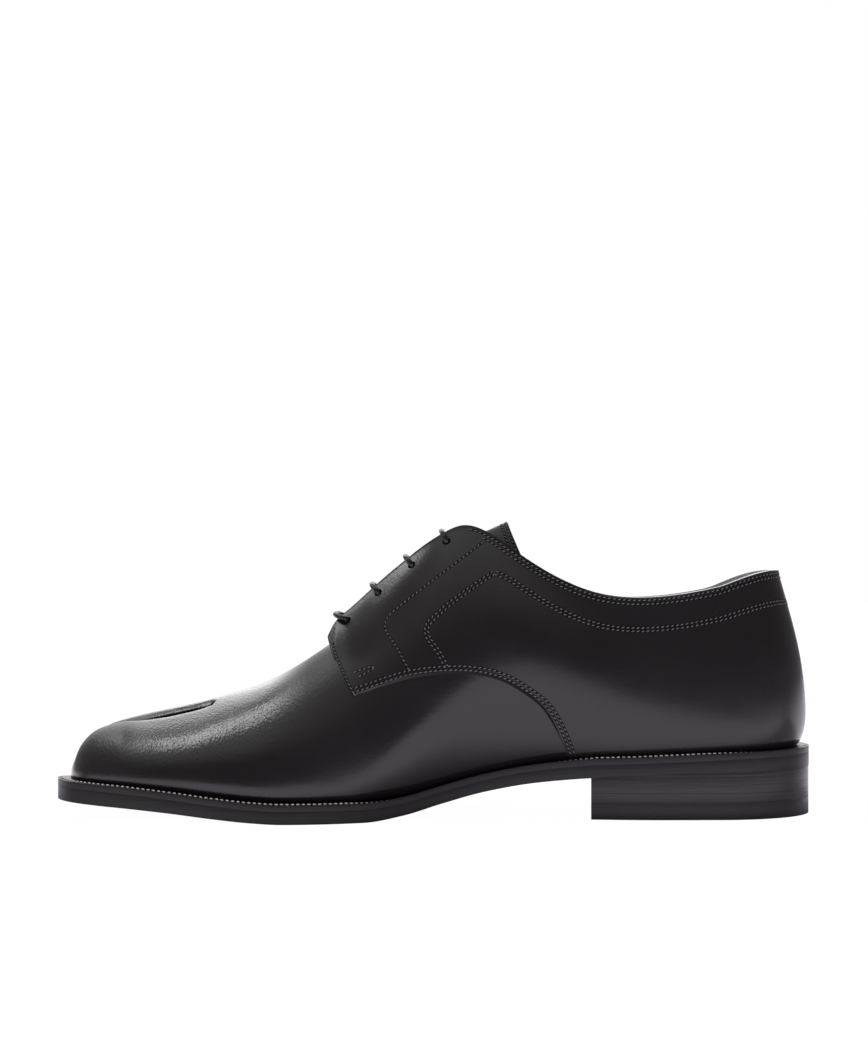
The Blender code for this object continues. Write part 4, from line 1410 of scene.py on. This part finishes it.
@dataclass
class Seams:
    """Rows of tone-on-tone stitches on the quarters and the tongue, in black thread whose grey colour is
    painted highlight, each row over a strip of painted shade.
    """

    last: Last
    tongue: Tongue
    thread: Material
    groove_shade: Material
    stitch: Stitch = Stitch(pitch=1.95, length=1.3, width=0.52, height=0.45, slant=16.0)
    lower_edge_reach: tuple[float, float] = (-29.9, 52.0)
    lower_edge_rows: tuple[float, ...] = (1.3, 2.8)
    front_reach: float = 0.96
    front_inset: float = 1.6
    topline_rows: tuple[tuple[float, float], ...] = ((1.1, 14.0), (2.6, 20.0))
    row_gap: float = 1.3
    band_start: float = 30.0
    band_drop: float = 12.4
    off_face: float = 1.5
    off_front: float = 3.0
    # Painted shade: width and lift of the dark strip laid under each row of stitches
    groove_shade_width: float = 1.1
    groove_shade_lift: float = 0.02
    tongue_rows: tuple[float, ...] = (1.2, 2.8)
    tongue_reach: float = 0.97
    facing_line: tuple[tuple[float, float], ...] = (
        (19.6, 107.8), (11.4, 101.6), (4.3, 96.3), (-2.7, 90.9), (-9.7, 85.5), (-15.3, 81.1), (-18.6, 77.8),
        (-19.4, 75.0), (-18.3, 72.2), (-14.4, 66.9), (-9.5, 58.0),
    )
    peak_line: tuple[tuple[float, float], ...] = (
        (23.7, 95.9), (14.8, 90.1), (5.7, 83.5), (-2.3, 76.2), (-3.2, 73.4), (-2.3, 70.6), (2.2, 64.7),
        (5.0, 59.0),
    )
    bartack_line: tuple[tuple[float, float], ...] = (
        (-31.4, 57.0), (-27.0, 58.6), (-23.6, 59.6), (-22.8, 58.9), (-25.6, 57.3), (-29.4, 55.3),
    )

    def on_quarter(self, side: Side, station: float, height: float) -> np.ndarray:
        """Point just off the quarter's outer face."""
        rib = self.last.quarter_rib(side, station)
        return at_height(rib, height) + self.last.outward(side, station) * self.off_face

    def traced(self, side: Side, line: Sequence[tuple[float, float]]) -> np.ndarray:
        """A line of stations and heights, laid on a quarter."""
        places = spread(np.array(line), 60)
        return np.array([self.on_quarter(side, *place) for place in places])

    def beside(self, line: Sequence[tuple[float, float]], distance: float) -> np.ndarray:
        """A line in the side view moved across its own run, upwards for a line that runs to the heel."""
        places = spread(np.array(line), 90)
        run = np.gradient(places, axis=0)
        run /= np.linalg.norm(run, axis=1)[:, None]
        return places + np.stack([-run[:, 1], run[:, 0]], axis=1) * distance

    def lower_edge(self, side: Side) -> list[np.ndarray]:
        """Two rows above the quarter's lower edge and one behind its front edge."""
        edge = [(x, QUARTER_EDGE.at("height", x)) for x in np.linspace(*self.lower_edge_reach, 50)]
        rows = [self.traced(side, self.beside(edge, distance)) for distance in self.lower_edge_rows]
        edge = self.last.quarter_row(side, QUARTER_EDGE.first, np.linspace(0.0, self.front_reach, 30))
        places = self.beside(edge[:, (0, 2)], -self.front_inset)
        front = np.array([self.last.on_vamp(side, *place) for place in places])
        return rows + [front + self.last.outward(side, 0.0) * self.off_front]

    def topline(self, side: Side) -> list[np.ndarray]:
        """Rows under the topline, from the peak round to the heel."""
        rows = []
        for drop, start in self.topline_rows:
            edge = [(s, self.last.top_edge(side, s)[2]) for s in np.linspace(start, HEEL_END, 90)]
            rows.append(np.array([self.on_quarter(side, *place) for place in self.beside(edge, -drop)]))
        return rows

    def collar_band(self, side: Side) -> list[np.ndarray]:
        """Double row that bounds the collar, with its branch from the peak down to the lower edge."""
        band = [self.peak_line[0]]
        for station in np.linspace(self.band_start, HEEL_END, 60):
            band.append((station, self.last.top_edge(side, station)[2] - self.band_drop))
        rows = []
        for distance in (-self.row_gap / 2, self.row_gap / 2):
            rows.append(np.array([self.on_quarter(side, *place) for place in self.beside(band, distance)]))
            rows.append(self.traced(side, self.beside(self.peak_line[::-1], distance)))
        return rows

    def tongue_end(self) -> list[np.ndarray]:
        """Rows along the end of the tongue."""
        shares = np.linspace(-self.tongue_reach, self.tongue_reach, 60)
        return [
            np.array([self.tongue.point(TONGUE.last - inset, t) + UP for t in shares])
            for inset in self.tongue_rows
        ]

    def build(self, quarters: Object, tongue: Object) -> None:
        """Sews every row.

        Args:
            quarters: Finished quarters.
            tongue: Finished tongue.
        """
        needle = Needle(quarters)
        rows = {"lower_edge": self.lower_edge, "topline": self.topline, "collar_band": self.collar_band}
        for name, trace in rows.items():
            self.sew(needle, name, [row for side in Side for row in trace(side)], "upper_leather")
        lines = [self.traced(side, line) for side in Side for line in (self.facing_line, self.bartack_line)]
        self.sew(needle, "facing", lines, "upper_leather")
        self.sew(Needle(tongue), "tongue", self.tongue_end(), "tongue_leather")

    def sew(self, needle: Needle, name: str, lines: list[np.ndarray], slot: str) -> None:
        """Sews the rows of one seam, each over a dark strip of painted shade standing in for the dent that it
        presses into the leather.

        Args:
            needle: Needle on the piece to sew.
            name: Start of the names of its stitches and of its strips of painted shade.
            lines: Lines to follow, in millimetres.
            slot: Material slot of the piece.
        """
        sewn = needle.sew(f"{name}_stitches", lines, self.stitch)
        groove_shade_strips = needle.channel(f"{name}_dents", lines, self.groove_shade_width, self.groove_shade_lift)
        for piece, finish in ((sewn, self.thread), (groove_shade_strips, self.groove_shade)):
            piece.data.materials.append(finish)
            settle(piece, slot)


@dataclass
class Lacing:
    """One lace in straight bars across the throat, its runs between them under the facings."""

    last: Last
    cord: Material
    eyelet_x: tuple[float, ...]
    radius: float = 1.1
    lift: float = 2.5
    under: float = 2.4
    climb: float = 1.5
    over_edge: tuple[float, float] = (0.2, 0.9)
    hidden_drop: float = 3.0
    hidden_shares: tuple[float, float] = (0.3, 0.7)
    rounding: int = 3
    low_bar_sag: tuple[float, float, float] = (-2.0, 0.0, -1.6)

    def bar(self, number: int, start: Side) -> list[np.ndarray]:
        """Route of one bar.

        Args:
            number: Row of eyelets, from the top.
            start: Side that the bar comes out on.

        Returns:
            Points from under the first eyelet to under the second.
        """
        route: list[np.ndarray] = []
        for side in (start, Side.LATERAL if start is Side.MEDIAL else Side.MEDIAL):
            place, edge, normal = self.last.facing_frame(side, self.eyelet_x[number])
            half = [place + normal * height for height in (-self.under, 0.0, self.climb)]
            half += [place + (edge - place) * share + normal * self.lift for share in self.over_edge]
            if number == len(self.eyelet_x) - 1:
                half[-1] += np.array(self.low_bar_sag)
                half[-2] += np.array(self.low_bar_sag) / 2
            route += half if side is start else half[::-1]
        return route

    def hidden_run(self, side: Side, first: int, second: int) -> list[np.ndarray]:
        """Route under a facing from one eyelet to another."""
        frames = [self.last.facing_frame(side, self.eyelet_x[n]) for n in (first, second)]
        near, far = (place - normal * self.hidden_drop for place, _, normal in frames)
        return [near * (1 - t) + far * t for t in self.hidden_shares]

    def route(self) -> np.ndarray:
        """The whole lace, from its hidden end at one top eyelet to that at the other."""
        one, other = Side.MEDIAL, Side.LATERAL
        points = self.bar(0, one) + self.hidden_run(other, 0, 2) + self.bar(2, other)
        points += self.hidden_run(one, 2, 3) + self.bar(3, one) + self.hidden_run(other, 3, 1)
        points += self.bar(1, other) + self.hidden_run(one, 1, 0)
        line = np.array(points)
        for _ in range(self.rounding):
            cut = np.stack([line[:-1] * 0.75 + line[1:] * 0.25, line[:-1] * 0.25 + line[1:] * 0.75], axis=1)
            line = np.vstack([line[:1], cut.reshape(-1, 3), line[-1:]])
        return line

    def build(self) -> Object:
        """Builds the lace as a tube along its route."""
        line = to_metres(self.route())
        bpy.ops.object.select_all(action="DESELECT")
        bpy.ops.curve.primitive_nurbs_path_add()
        piece = bpy.context.object
        piece.name = piece.data.name = "lace"
        cord = piece.data
        cord.splines.clear()
        cord.bevel_depth = self.radius * MM
        cord.bevel_resolution = 3
        cord.use_fill_caps = True
        spline = cord.splines.new("POLY")
        spline.points.add(len(line) - 1)
        spline.points.foreach_set("co", np.column_stack([line, np.ones(len(line))]).ravel())
        bpy.ops.object.convert(target="MESH")
        piece.data.materials.append(self.cord)
        smooth_shade(piece, 60.0)
        LOG.info("lace length %.0f mm", run_of(line)[-1] / MM)
        return settle(piece, "waxed_cord", *(f"lace_bar_{n + 1}" for n in range(len(self.eyelet_x))))


@dataclass
class Bottom:
    """Welt, outsole, heel and insole."""

    last: Last
    edge: Material
    tread: Material
    lifts: Material
    rubber: Material
    sock: Material
    linen: Material
    welt_notch: float = 0.8
    insole_inset: float = 2.8
    insole_thick: float = 2.5
    heel_inset: float = 0.15
    breast_hollow: float = 5.0
    breast_slant: float = 5.5
    breast_room: float = 15.0
    top_piece_thick: float = 6.4
    groove_inset: float = 1.3
    groove_depth: float = 0.3
    groove_half: float = 0.7
    ledge_room: float = 2.5
    welt_play: float = 0.02
    stack_play: tuple[float, float] = (0.03, 0.04)
    tread_slope: float = -0.9
    welt_bevel: float = 0.12
    outsole_bevel: float = 0.15
    heel_bevel: float = 0.1
    insole_bevel: float = 0.5
    inner_columns: int = 4
    spacing: float = 2.2
    sewn_stretches: tuple[tuple[float, float], ...] = ((TOE_END, -17.0), (48.0, 126.0))
    sewn_fades: tuple[tuple[float, float], ...] = ((0.0, 26.0), (26.0, 26.0))
    stitch: Stitch = Stitch(pitch=2.1, length=1.45, width=0.75, height=0.75, slant=-14.0, rise=0.55)

    def stations(self, first: float = TOE_END) -> np.ndarray:
        """Evenly spaced stations from one to the heel's end."""
        return np.linspace(first, HEEL_END, round((HEEL_END - first) / self.spacing) + 1)

    def welt_reach(self, side: Side) -> Callable[[float], float]:
        """How far the welt's edge stands out on one side."""
        return lambda station: WELT.at(side.label, station)

    def plate(
        self, name: str, stations: np.ndarray, reach: Callable[[Side], Callable[[float], float]],
        top: Callable[[float], float], bottom: Callable[[float], float], ledge: Sequence[tuple[float, float]],
        notch: float, notch_end: float = NOTCH_END, hollow: float = 0.0,
    ) -> Object:
        """A piece of the bottom between two heights, split by the notch of the toe.

        Args:
            name: Name of the piece.
            stations: Stations of its outline.
            reach: How far its edge stands out from the feather edge, by side.
            top: Height of its upper face at an X.
            bottom: Height of its lower face at an X.
            ledge: Insets from the edge and the depth of the upper face there.
            notch: How far its inner edge stands out from the cleft's wall.
            notch_end: X where the notch ends.
            hollow: Depth of the curve of its front edge.

        Returns:
            The closed piece.
        """
        inner_shares = np.linspace(0, 1, self.inner_columns + 1)[1:]
        halves = []
        for side in Side:
            outer, inner, out = self.last.plan_edges(side, stations, reach(side), notch, notch_end)
            rows = []
            for i in range(len(stations)):
                room = np.linalg.norm(inner[i] - outer[i])
                scale = min(1.0, room / (self.ledge_room * ledge[-1][0])) if ledge[-1][0] else 1.0
                line = [(outer[i] - out[i] * inset * scale, depth * scale) for inset, depth in ledge]
                start = line[-1][0]
                line += [(start + (inner[i] - start) * t, 0.0) for t in inner_shares]
                row = []
                for place, depth in line:
                    x = place[0]
                    if hollow and i == 0:
                        x += hollow * (1 - min(1.0, abs(place[1] / outer[0][1])) ** 2)
                        x += self.breast_slant * (1 + place[1] / abs(outer[0][1])) / 2
                    row.append((x, place[1], top(x) - depth))
                rows.append(row)
            halves.append(grid_piece(name, np.array(rows), side is Side.LATERAL))
        piece = joined(name, halves)
        with editing(piece):
            bpy.ops.mesh.extrude_region_move(TRANSFORM_OT_translate={"value": (0.0, 0.0, -MM)})
        for vertex in piece.data.vertices:
            if vertex.select:
                vertex.co.z = bottom(vertex.co.x / MM - CENTRE_X) * MM
        with editing(piece):
            bpy.ops.mesh.normals_make_consistent(inside=False)
        return piece

    def rounded(self, piece: Object, width: float) -> None:
        """Breaks the sharp edges of a piece."""
        break_edges(piece, width, 3)
        smooth_shade(piece, 45.0)

    def welt(self) -> Object:
        """Welt with the groove that its stitches lie in."""
        groove, deep, half = self.groove_inset, self.groove_depth, self.groove_half
        depths = ((-half, 0.0), (-half / 2, deep), (half / 2, deep), (half, 0.0))
        ledge = ((0.0, 0.0), *((groove + across, depth) for across, depth in depths))
        top = self.last.welt_top
        piece = self.plate(
            "welt", self.stations(), self.welt_reach, top, lambda x: top(x) - self.last.welt_thick, ledge,
            self.welt_notch,
        )
        piece.data.materials.append(self.edge)
        self.rounded(piece, self.welt_bevel)
        return settle(piece, "welt_leather", "welt")

    def welt_stitches(self, welt: Object) -> Object:
        """Row of linen stitches along the welt's edge, which runs out of sight at the waist."""
        stations = self.stations()
        lines = []
        for side in Side:
            reach = self.welt_reach(side)
            outer, _, out = self.last.plan_edges(side, stations, reach, self.welt_notch, NOTCH_END)
            plan = outer - out * self.groove_inset
            row = np.array([(x, y, self.last.welt_top(x)) for x, y in plan])
            lines += [row[(stations >= first) & (stations <= last)] for first, last in self.sewn_stretches]
        sewn = Needle(welt).sew("welt_stitches", lines, self.stitch, self.sewn_fades * len(Side))
        sewn.data.materials.append(self.linen)
        return settle(sewn, "welt_leather")

    def outsole(self) -> Object:
        """Outsole with an inked edge and a buffed tread."""
        top = self.last.outsole_top
        piece = self.plate(
            "outsole", self.stations(), self.welt_reach, lambda x: top(x) + self.last.gap - self.welt_play,
            lambda x: SOLE.at("bottom", x), PLAIN_EDGE, self.welt_notch,
        )
        piece.data.materials.append(self.edge)
        piece.data.materials.append(self.tread)
        self.rounded(piece, self.outsole_bevel)
        for polygon in piece.data.polygons:
            polygon.material_index = int(polygon.normal.z < self.tread_slope)
        return settle(piece, "sole_leather", "outsole")

    def heel_reach(self, side: Side) -> Callable[[float], float]:
        """How far the heel's edge stands out on one side."""
        return lambda station: WELT.at(side.label, station) - self.heel_inset

    def heel(self) -> None:
        """Heel block of leather lifts, and the rubber top piece under it."""
        stations = np.array([BREAST_X, *self.stations(BREAST_X + self.breast_room)])
        thick = self.top_piece_thick
        over, under = self.stack_play
        pieces = (
            ("heel_stack", "heel_leather", self.lifts, lambda x: SOLE.at("bottom", x) - over, thick + under),
            ("heel_top_piece", "heel_rubber", self.rubber, lambda x: thick, 0.0),
        )
        for name, slot, finish, top, foot in pieces:
            piece = self.plate(
                name, stations, self.heel_reach, top, lambda x: foot, PLAIN_EDGE, self.welt_notch,
                hollow=self.breast_hollow,
            )
            piece.data.materials.append(finish)
            self.rounded(piece, self.heel_bevel)
            settle(piece, slot, name)

    def insole_seat(self, x: float) -> float:
        """Height of the insole's lower face."""
        return self.last.welt_top(x) + self.last.gap

    def insole(self) -> Object:
        """Insole with its sock, inside the upper."""
        piece = self.plate(
            "insole", self.stations(), lambda side: lambda s: -self.insole_inset,
            lambda x: self.insole_seat(x) + self.insole_thick, self.insole_seat, PLAIN_EDGE,
            -self.insole_inset, CLEFT_END,
        )
        piece.data.materials.append(self.sock)
        self.rounded(piece, self.insole_bevel)
        return settle(piece, "insole_leather", "insole")

    def build(self) -> None:
        """Builds the bottom from the welt down, then the insole."""
        self.welt_stitches(self.welt())
        self.outsole()
        self.heel()
        self.insole()


@dataclass(frozen=True)
class SoftBox:
    """A soft box over the toe, out of the camera's sight: its place, size, turn in degrees and brightness."""

    place: tuple[float, float, float]
    size: tuple[float, float]
    turn: tuple[float, float, float]
    light: float

    def build(self) -> None:
        """Hangs the soft box."""
        wide, deep = (size * MM for size in self.size)
        light = bpy.data.lights.new("soft_box", "AREA")
        light.shape, light.size, light.size_y = "RECTANGLE", wide, deep
        light.energy = self.light * math.pi * wide * deep
        lamp = bpy.data.objects.new("soft_box", light)
        lamp.location = to_metres(np.array(self.place))
        lamp.rotation_euler = [math.radians(turn) for turn in self.turn]
        lamp.visible_camera = False
        bpy.context.scene.collection.objects.link(lamp)


@dataclass
class Studio:
    """Camera, pale floor and soft light."""

    camera_distance: float = 1044.0
    camera_height: float = 115.5
    lens: float = 90.0
    floor_size: tuple[float, float] = (8000.0, 5000.0)
    floor_front: float = -2500.0
    # Painted shade: ahead of the shoe the floor's colour passes to the dark colour below between these Y,
    # standing in for the unlit room there
    floor_painted_shade_reach: tuple[float, float] = (-1700.0, -800.0)
    # Painted contact shadow: the floor's glow is nothing within the first distance beside the shoe and full
    # past the second
    floor_painted_shadow: tuple[float, float] = (30.0, 74.0)
    floor_colour: str = "#f1ebf8"
    floor_painted_shade_colour: str = "#303030"
    floor_glow: float = 1.15
    floor_white: float = 0.94
    white_level: float = 1.05
    dark: float = 0.15
    soft_boxes: tuple[SoftBox, ...] = (
        SoftBox((-217.0, 101.0, 348.5), (34.0, 170.0), (-25.0, -20.0, -9.0), 7.4),
        SoftBox((-284.0, 193.0, 346.0), (78.0, 46.0), (-32.0, -25.0, 0.0), 6.4),
    )
    # Each edge of a light: where nothing is left of it, and where it is full. A tilt is in degrees, and the
    # rest are X of the direction
    wall_light: float = 2.6
    wall_foot: tuple[float, float] = (184.0, 166.0)
    wall_top: tuple[float, float] = (134.0, 150.0)
    wall_sides: tuple[float, float] = (0.56, 0.14)
    roof_light: float = 0.75
    roof_front: tuple[float, float] = (30.0, 88.0)
    roof_back: tuple[float, float] = (150.0, 115.0)
    roof_toe: tuple[float, float] = (-0.6, -0.46)
    roof_heel: tuple[float, float] = (0.5, 0.25)
    toe_light: float = 0.12
    toe_start: tuple[float, float] = (-0.45, -0.6)

    def camera(self) -> None:
        """Level camera that looks along +Y at the big-toe side."""
        lens = bpy.data.cameras.new("camera")
        lens.lens = self.lens
        lens.clip_end = 50.0
        camera = bpy.data.objects.new("camera", lens)
        camera.location = to_metres(np.array([0.0, -self.camera_distance, self.camera_height]))
        camera.rotation_euler = (math.radians(90), 0.0, 0.0)
        bpy.context.scene.collection.objects.link(camera)
        bpy.context.scene.camera = camera

    def floor(self) -> None:
        """Pale floor that glows a little, as a light table does, and looks plain white straight on. Its glow
        fades out close beside the shoe, a painted contact shadow, and its colour darkens far ahead of it,
        painted shade; both show only in the shoe's reflections.
        """
        bpy.ops.object.select_all(action="DESELECT")
        bpy.ops.mesh.primitive_plane_add(size=1.0)
        floor = bpy.context.object
        floor.name = "floor"
        wide, deep = (size * MM for size in self.floor_size)
        with editing(floor):
            bpy.ops.transform.resize(value=(wide, deep, 1.0))
            bpy.ops.transform.translate(value=(0.0, deep / 2 + self.floor_front * MM, 0.0))
        made = bpy.data.materials.new("white_table")
        made.use_nodes = True
        tree = made.node_tree
        shader = tree.nodes["Principled BSDF"]
        place = add_node(tree, "TexCoord").outputs["Object"]
        depth = add_node(tree, "SeparateXYZ", {0: place}).outputs["Y"]
        beside = add_node(tree, "Math", {0: depth}, operation="ABSOLUTE")
        (near, far), (foot, past) = (np.array(edges) * MM for edges in (self.floor_painted_shade_reach, self.floor_painted_shadow))
        # Painted shade: the floor's colour darkens far ahead of the shoe
        back = self.within(tree, ((depth, near, far),), 1.0)
        tone = add_node(
            tree, "Mix", {0: back, 6: linear(self.floor_painted_shade_colour), 7: linear(self.floor_colour)}, data_type="RGBA"
        )
        # Painted contact shadow: the glow fades out close beside the shoe
        glow_with_painted_shadow = self.within(tree, ((beside, foot, past),), self.floor_glow)
        looks = {"Base Color": tone, "Emission Color": tone, "Emission Strength": glow_with_painted_shadow}
        set_inputs(tree, shader, looks | {"Roughness": 0.9, "Specular IOR Level": 0.0})
        white = add_node(tree, "Emission", {"Strength": self.white_level})
        eye = add_node(tree, "LightPath").outputs["Is Camera Ray"]
        share = add_node(tree, "Math", {0: eye, 1: self.floor_white}, operation="MULTIPLY")
        seen = add_node(tree, "MixShader", {0: share, 1: shader, 2: white})
        set_inputs(tree, tree.nodes["Material Output"], {"Surface": seen})
        floor.data.materials.append(made)

    def within(self, tree: NodeTree, edges: Sequence[tuple[object, float, float]], amount: float) -> object:
        """An amount of light that fades out past soft edges.

        Args:
            tree: Node tree to add it to.
            edges: What each edge goes by, where nothing is left of the light and where it is full.
            amount: The light where every edge is full.

        Returns:
            The light left.
        """
        light: object = amount
        for value, none, full in edges:
            light = add_node(
                tree, "MapRange", {"Value": value, "From Min": none, "From Max": full, "To Max": light},
                interpolation_type="SMOOTHSTEP",
            )
        return light

    def surround(self) -> None:
        """White wall behind, softer roof, faint light ahead of the toe, and plain white to the eye."""
        world = bpy.data.worlds.new("studio")
        world.use_nodes = True
        tree = world.node_tree
        place = add_node(tree, "TexCoord").outputs["Generated"]
        x, y, z = add_node(tree, "SeparateXYZ", {0: place}).outputs
        across = add_node(tree, "Math", {0: x}, operation="ABSOLUTE")
        front = add_node(tree, "Math", {0: y, 1: -1.0}, operation="MULTIPLY")
        turn = add_node(tree, "Math", {0: z, 1: front}, operation="ARCTAN2")
        # Degrees from the horizon ahead of the shoe's near side, up and over to the one behind it
        tilt = add_node(tree, "Math", {0: turn}, operation="DEGREES")
        wall = ((tilt, *self.wall_top), (tilt, *self.wall_foot), (across, *self.wall_sides))
        ends = ((x, *self.roof_toe), (x, *self.roof_heel))
        roof = ((tilt, *self.roof_front), (tilt, *self.roof_back), *ends)
        toe = ((x, *self.toe_start),)
        level: object = self.dark
        for edges, amount in ((wall, self.wall_light), (roof, self.roof_light), (toe, self.toe_light)):
            level = add_node(tree, "Math", {0: level, 1: self.within(tree, edges, amount)})
        eye = add_node(tree, "LightPath").outputs["Is Camera Ray"]
        seen = add_node(tree, "Mix", {0: eye, 2: level, 3: 1.0})
        set_inputs(tree, tree.nodes["Background"], {"Strength": seen, "Color": (1.0, 1.0, 1.0, 1.0)})
        bpy.context.scene.world = world

    def build(self) -> None:
        """Sets up the studio."""
        self.camera()
        for box in self.soft_boxes:
            box.build()
        self.floor()
        self.surround()
        bpy.context.scene.view_settings.view_transform = "Standard"


def main() -> None:
    """Builds the shoe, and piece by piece."""
    logging.basicConfig(level=logging.INFO, format="%(name)s %(message)s")
    calf = PolishedCalf("polished_box_calf", "#191417", 0.27, top_parts=((40.0, 20.0, 0.24),)).make()
    grained = PolishedCalf(
        "grained_box_calf", "#191417", 0.22, pore_depth_mm=0.16,
        top_parts=((-106.0, -122.0, 0.41), (-66.0, -50.0, 0.48)),
    ).make()
    lining = LiningLeather("calf_lining", "#e4e4e6", 0.55, shade="#d2d0d0").make()
    last = Last()
    Studio().build()
    upper = Upper(last, grained, calf, lining)
    _, quarters, _ = upper.build()
    tongue = Tongue(grained, lining)
    flap = tongue.build()
    # The thread is black like the leather: its grey colour is painted highlight, standing in for the glints
    # along its plies
    thread = Thread("waxed_polyester_thread", "#737072", 0.45).make()
    # Painted shade: near-black, dull strips under the stitch rows, standing in for the shade in the dents
    # that the stitches press
    groove_shade = PolishedCalf("painted_groove_shade", "#070606", 0.6, 0.2, worn_colour="#0a0909").make()
    Seams(last, tongue, thread, groove_shade).build(quarters, flap)
    Lacing(last, WaxedCord("waxed_cotton_lace", "#0f0e0e", 0.4).make(), upper.eyelet_x).build()
    Bottom(
        last,
        InkedEdge(
            "inked_sole_edge", "#0e0c0e", 0.42, 0.4, streak_colour="#1b171b", colour_behind_painted_shade="#1e1a1f"
        ).make(),
        SoleLeather("buffed_sole_leather", "#241f1d", 0.6).make(),
        InkedEdge("stacked_heel_lifts", "#262128", 0.34, 0.55, streak_colour="#302b33", lift_mm=3.4).make(),
        HeelRubber("moulded_heel_rubber", "#2f2a31", 0.36).make(),
        LiningLeather("calf_sock", "#9c8262", 0.5).make(),
        Thread("linen_welt_thread", "#efeadf", 0.7, ply_mm=0.6).make(),
    ).build()


if __name__ == "__main__":
    main()
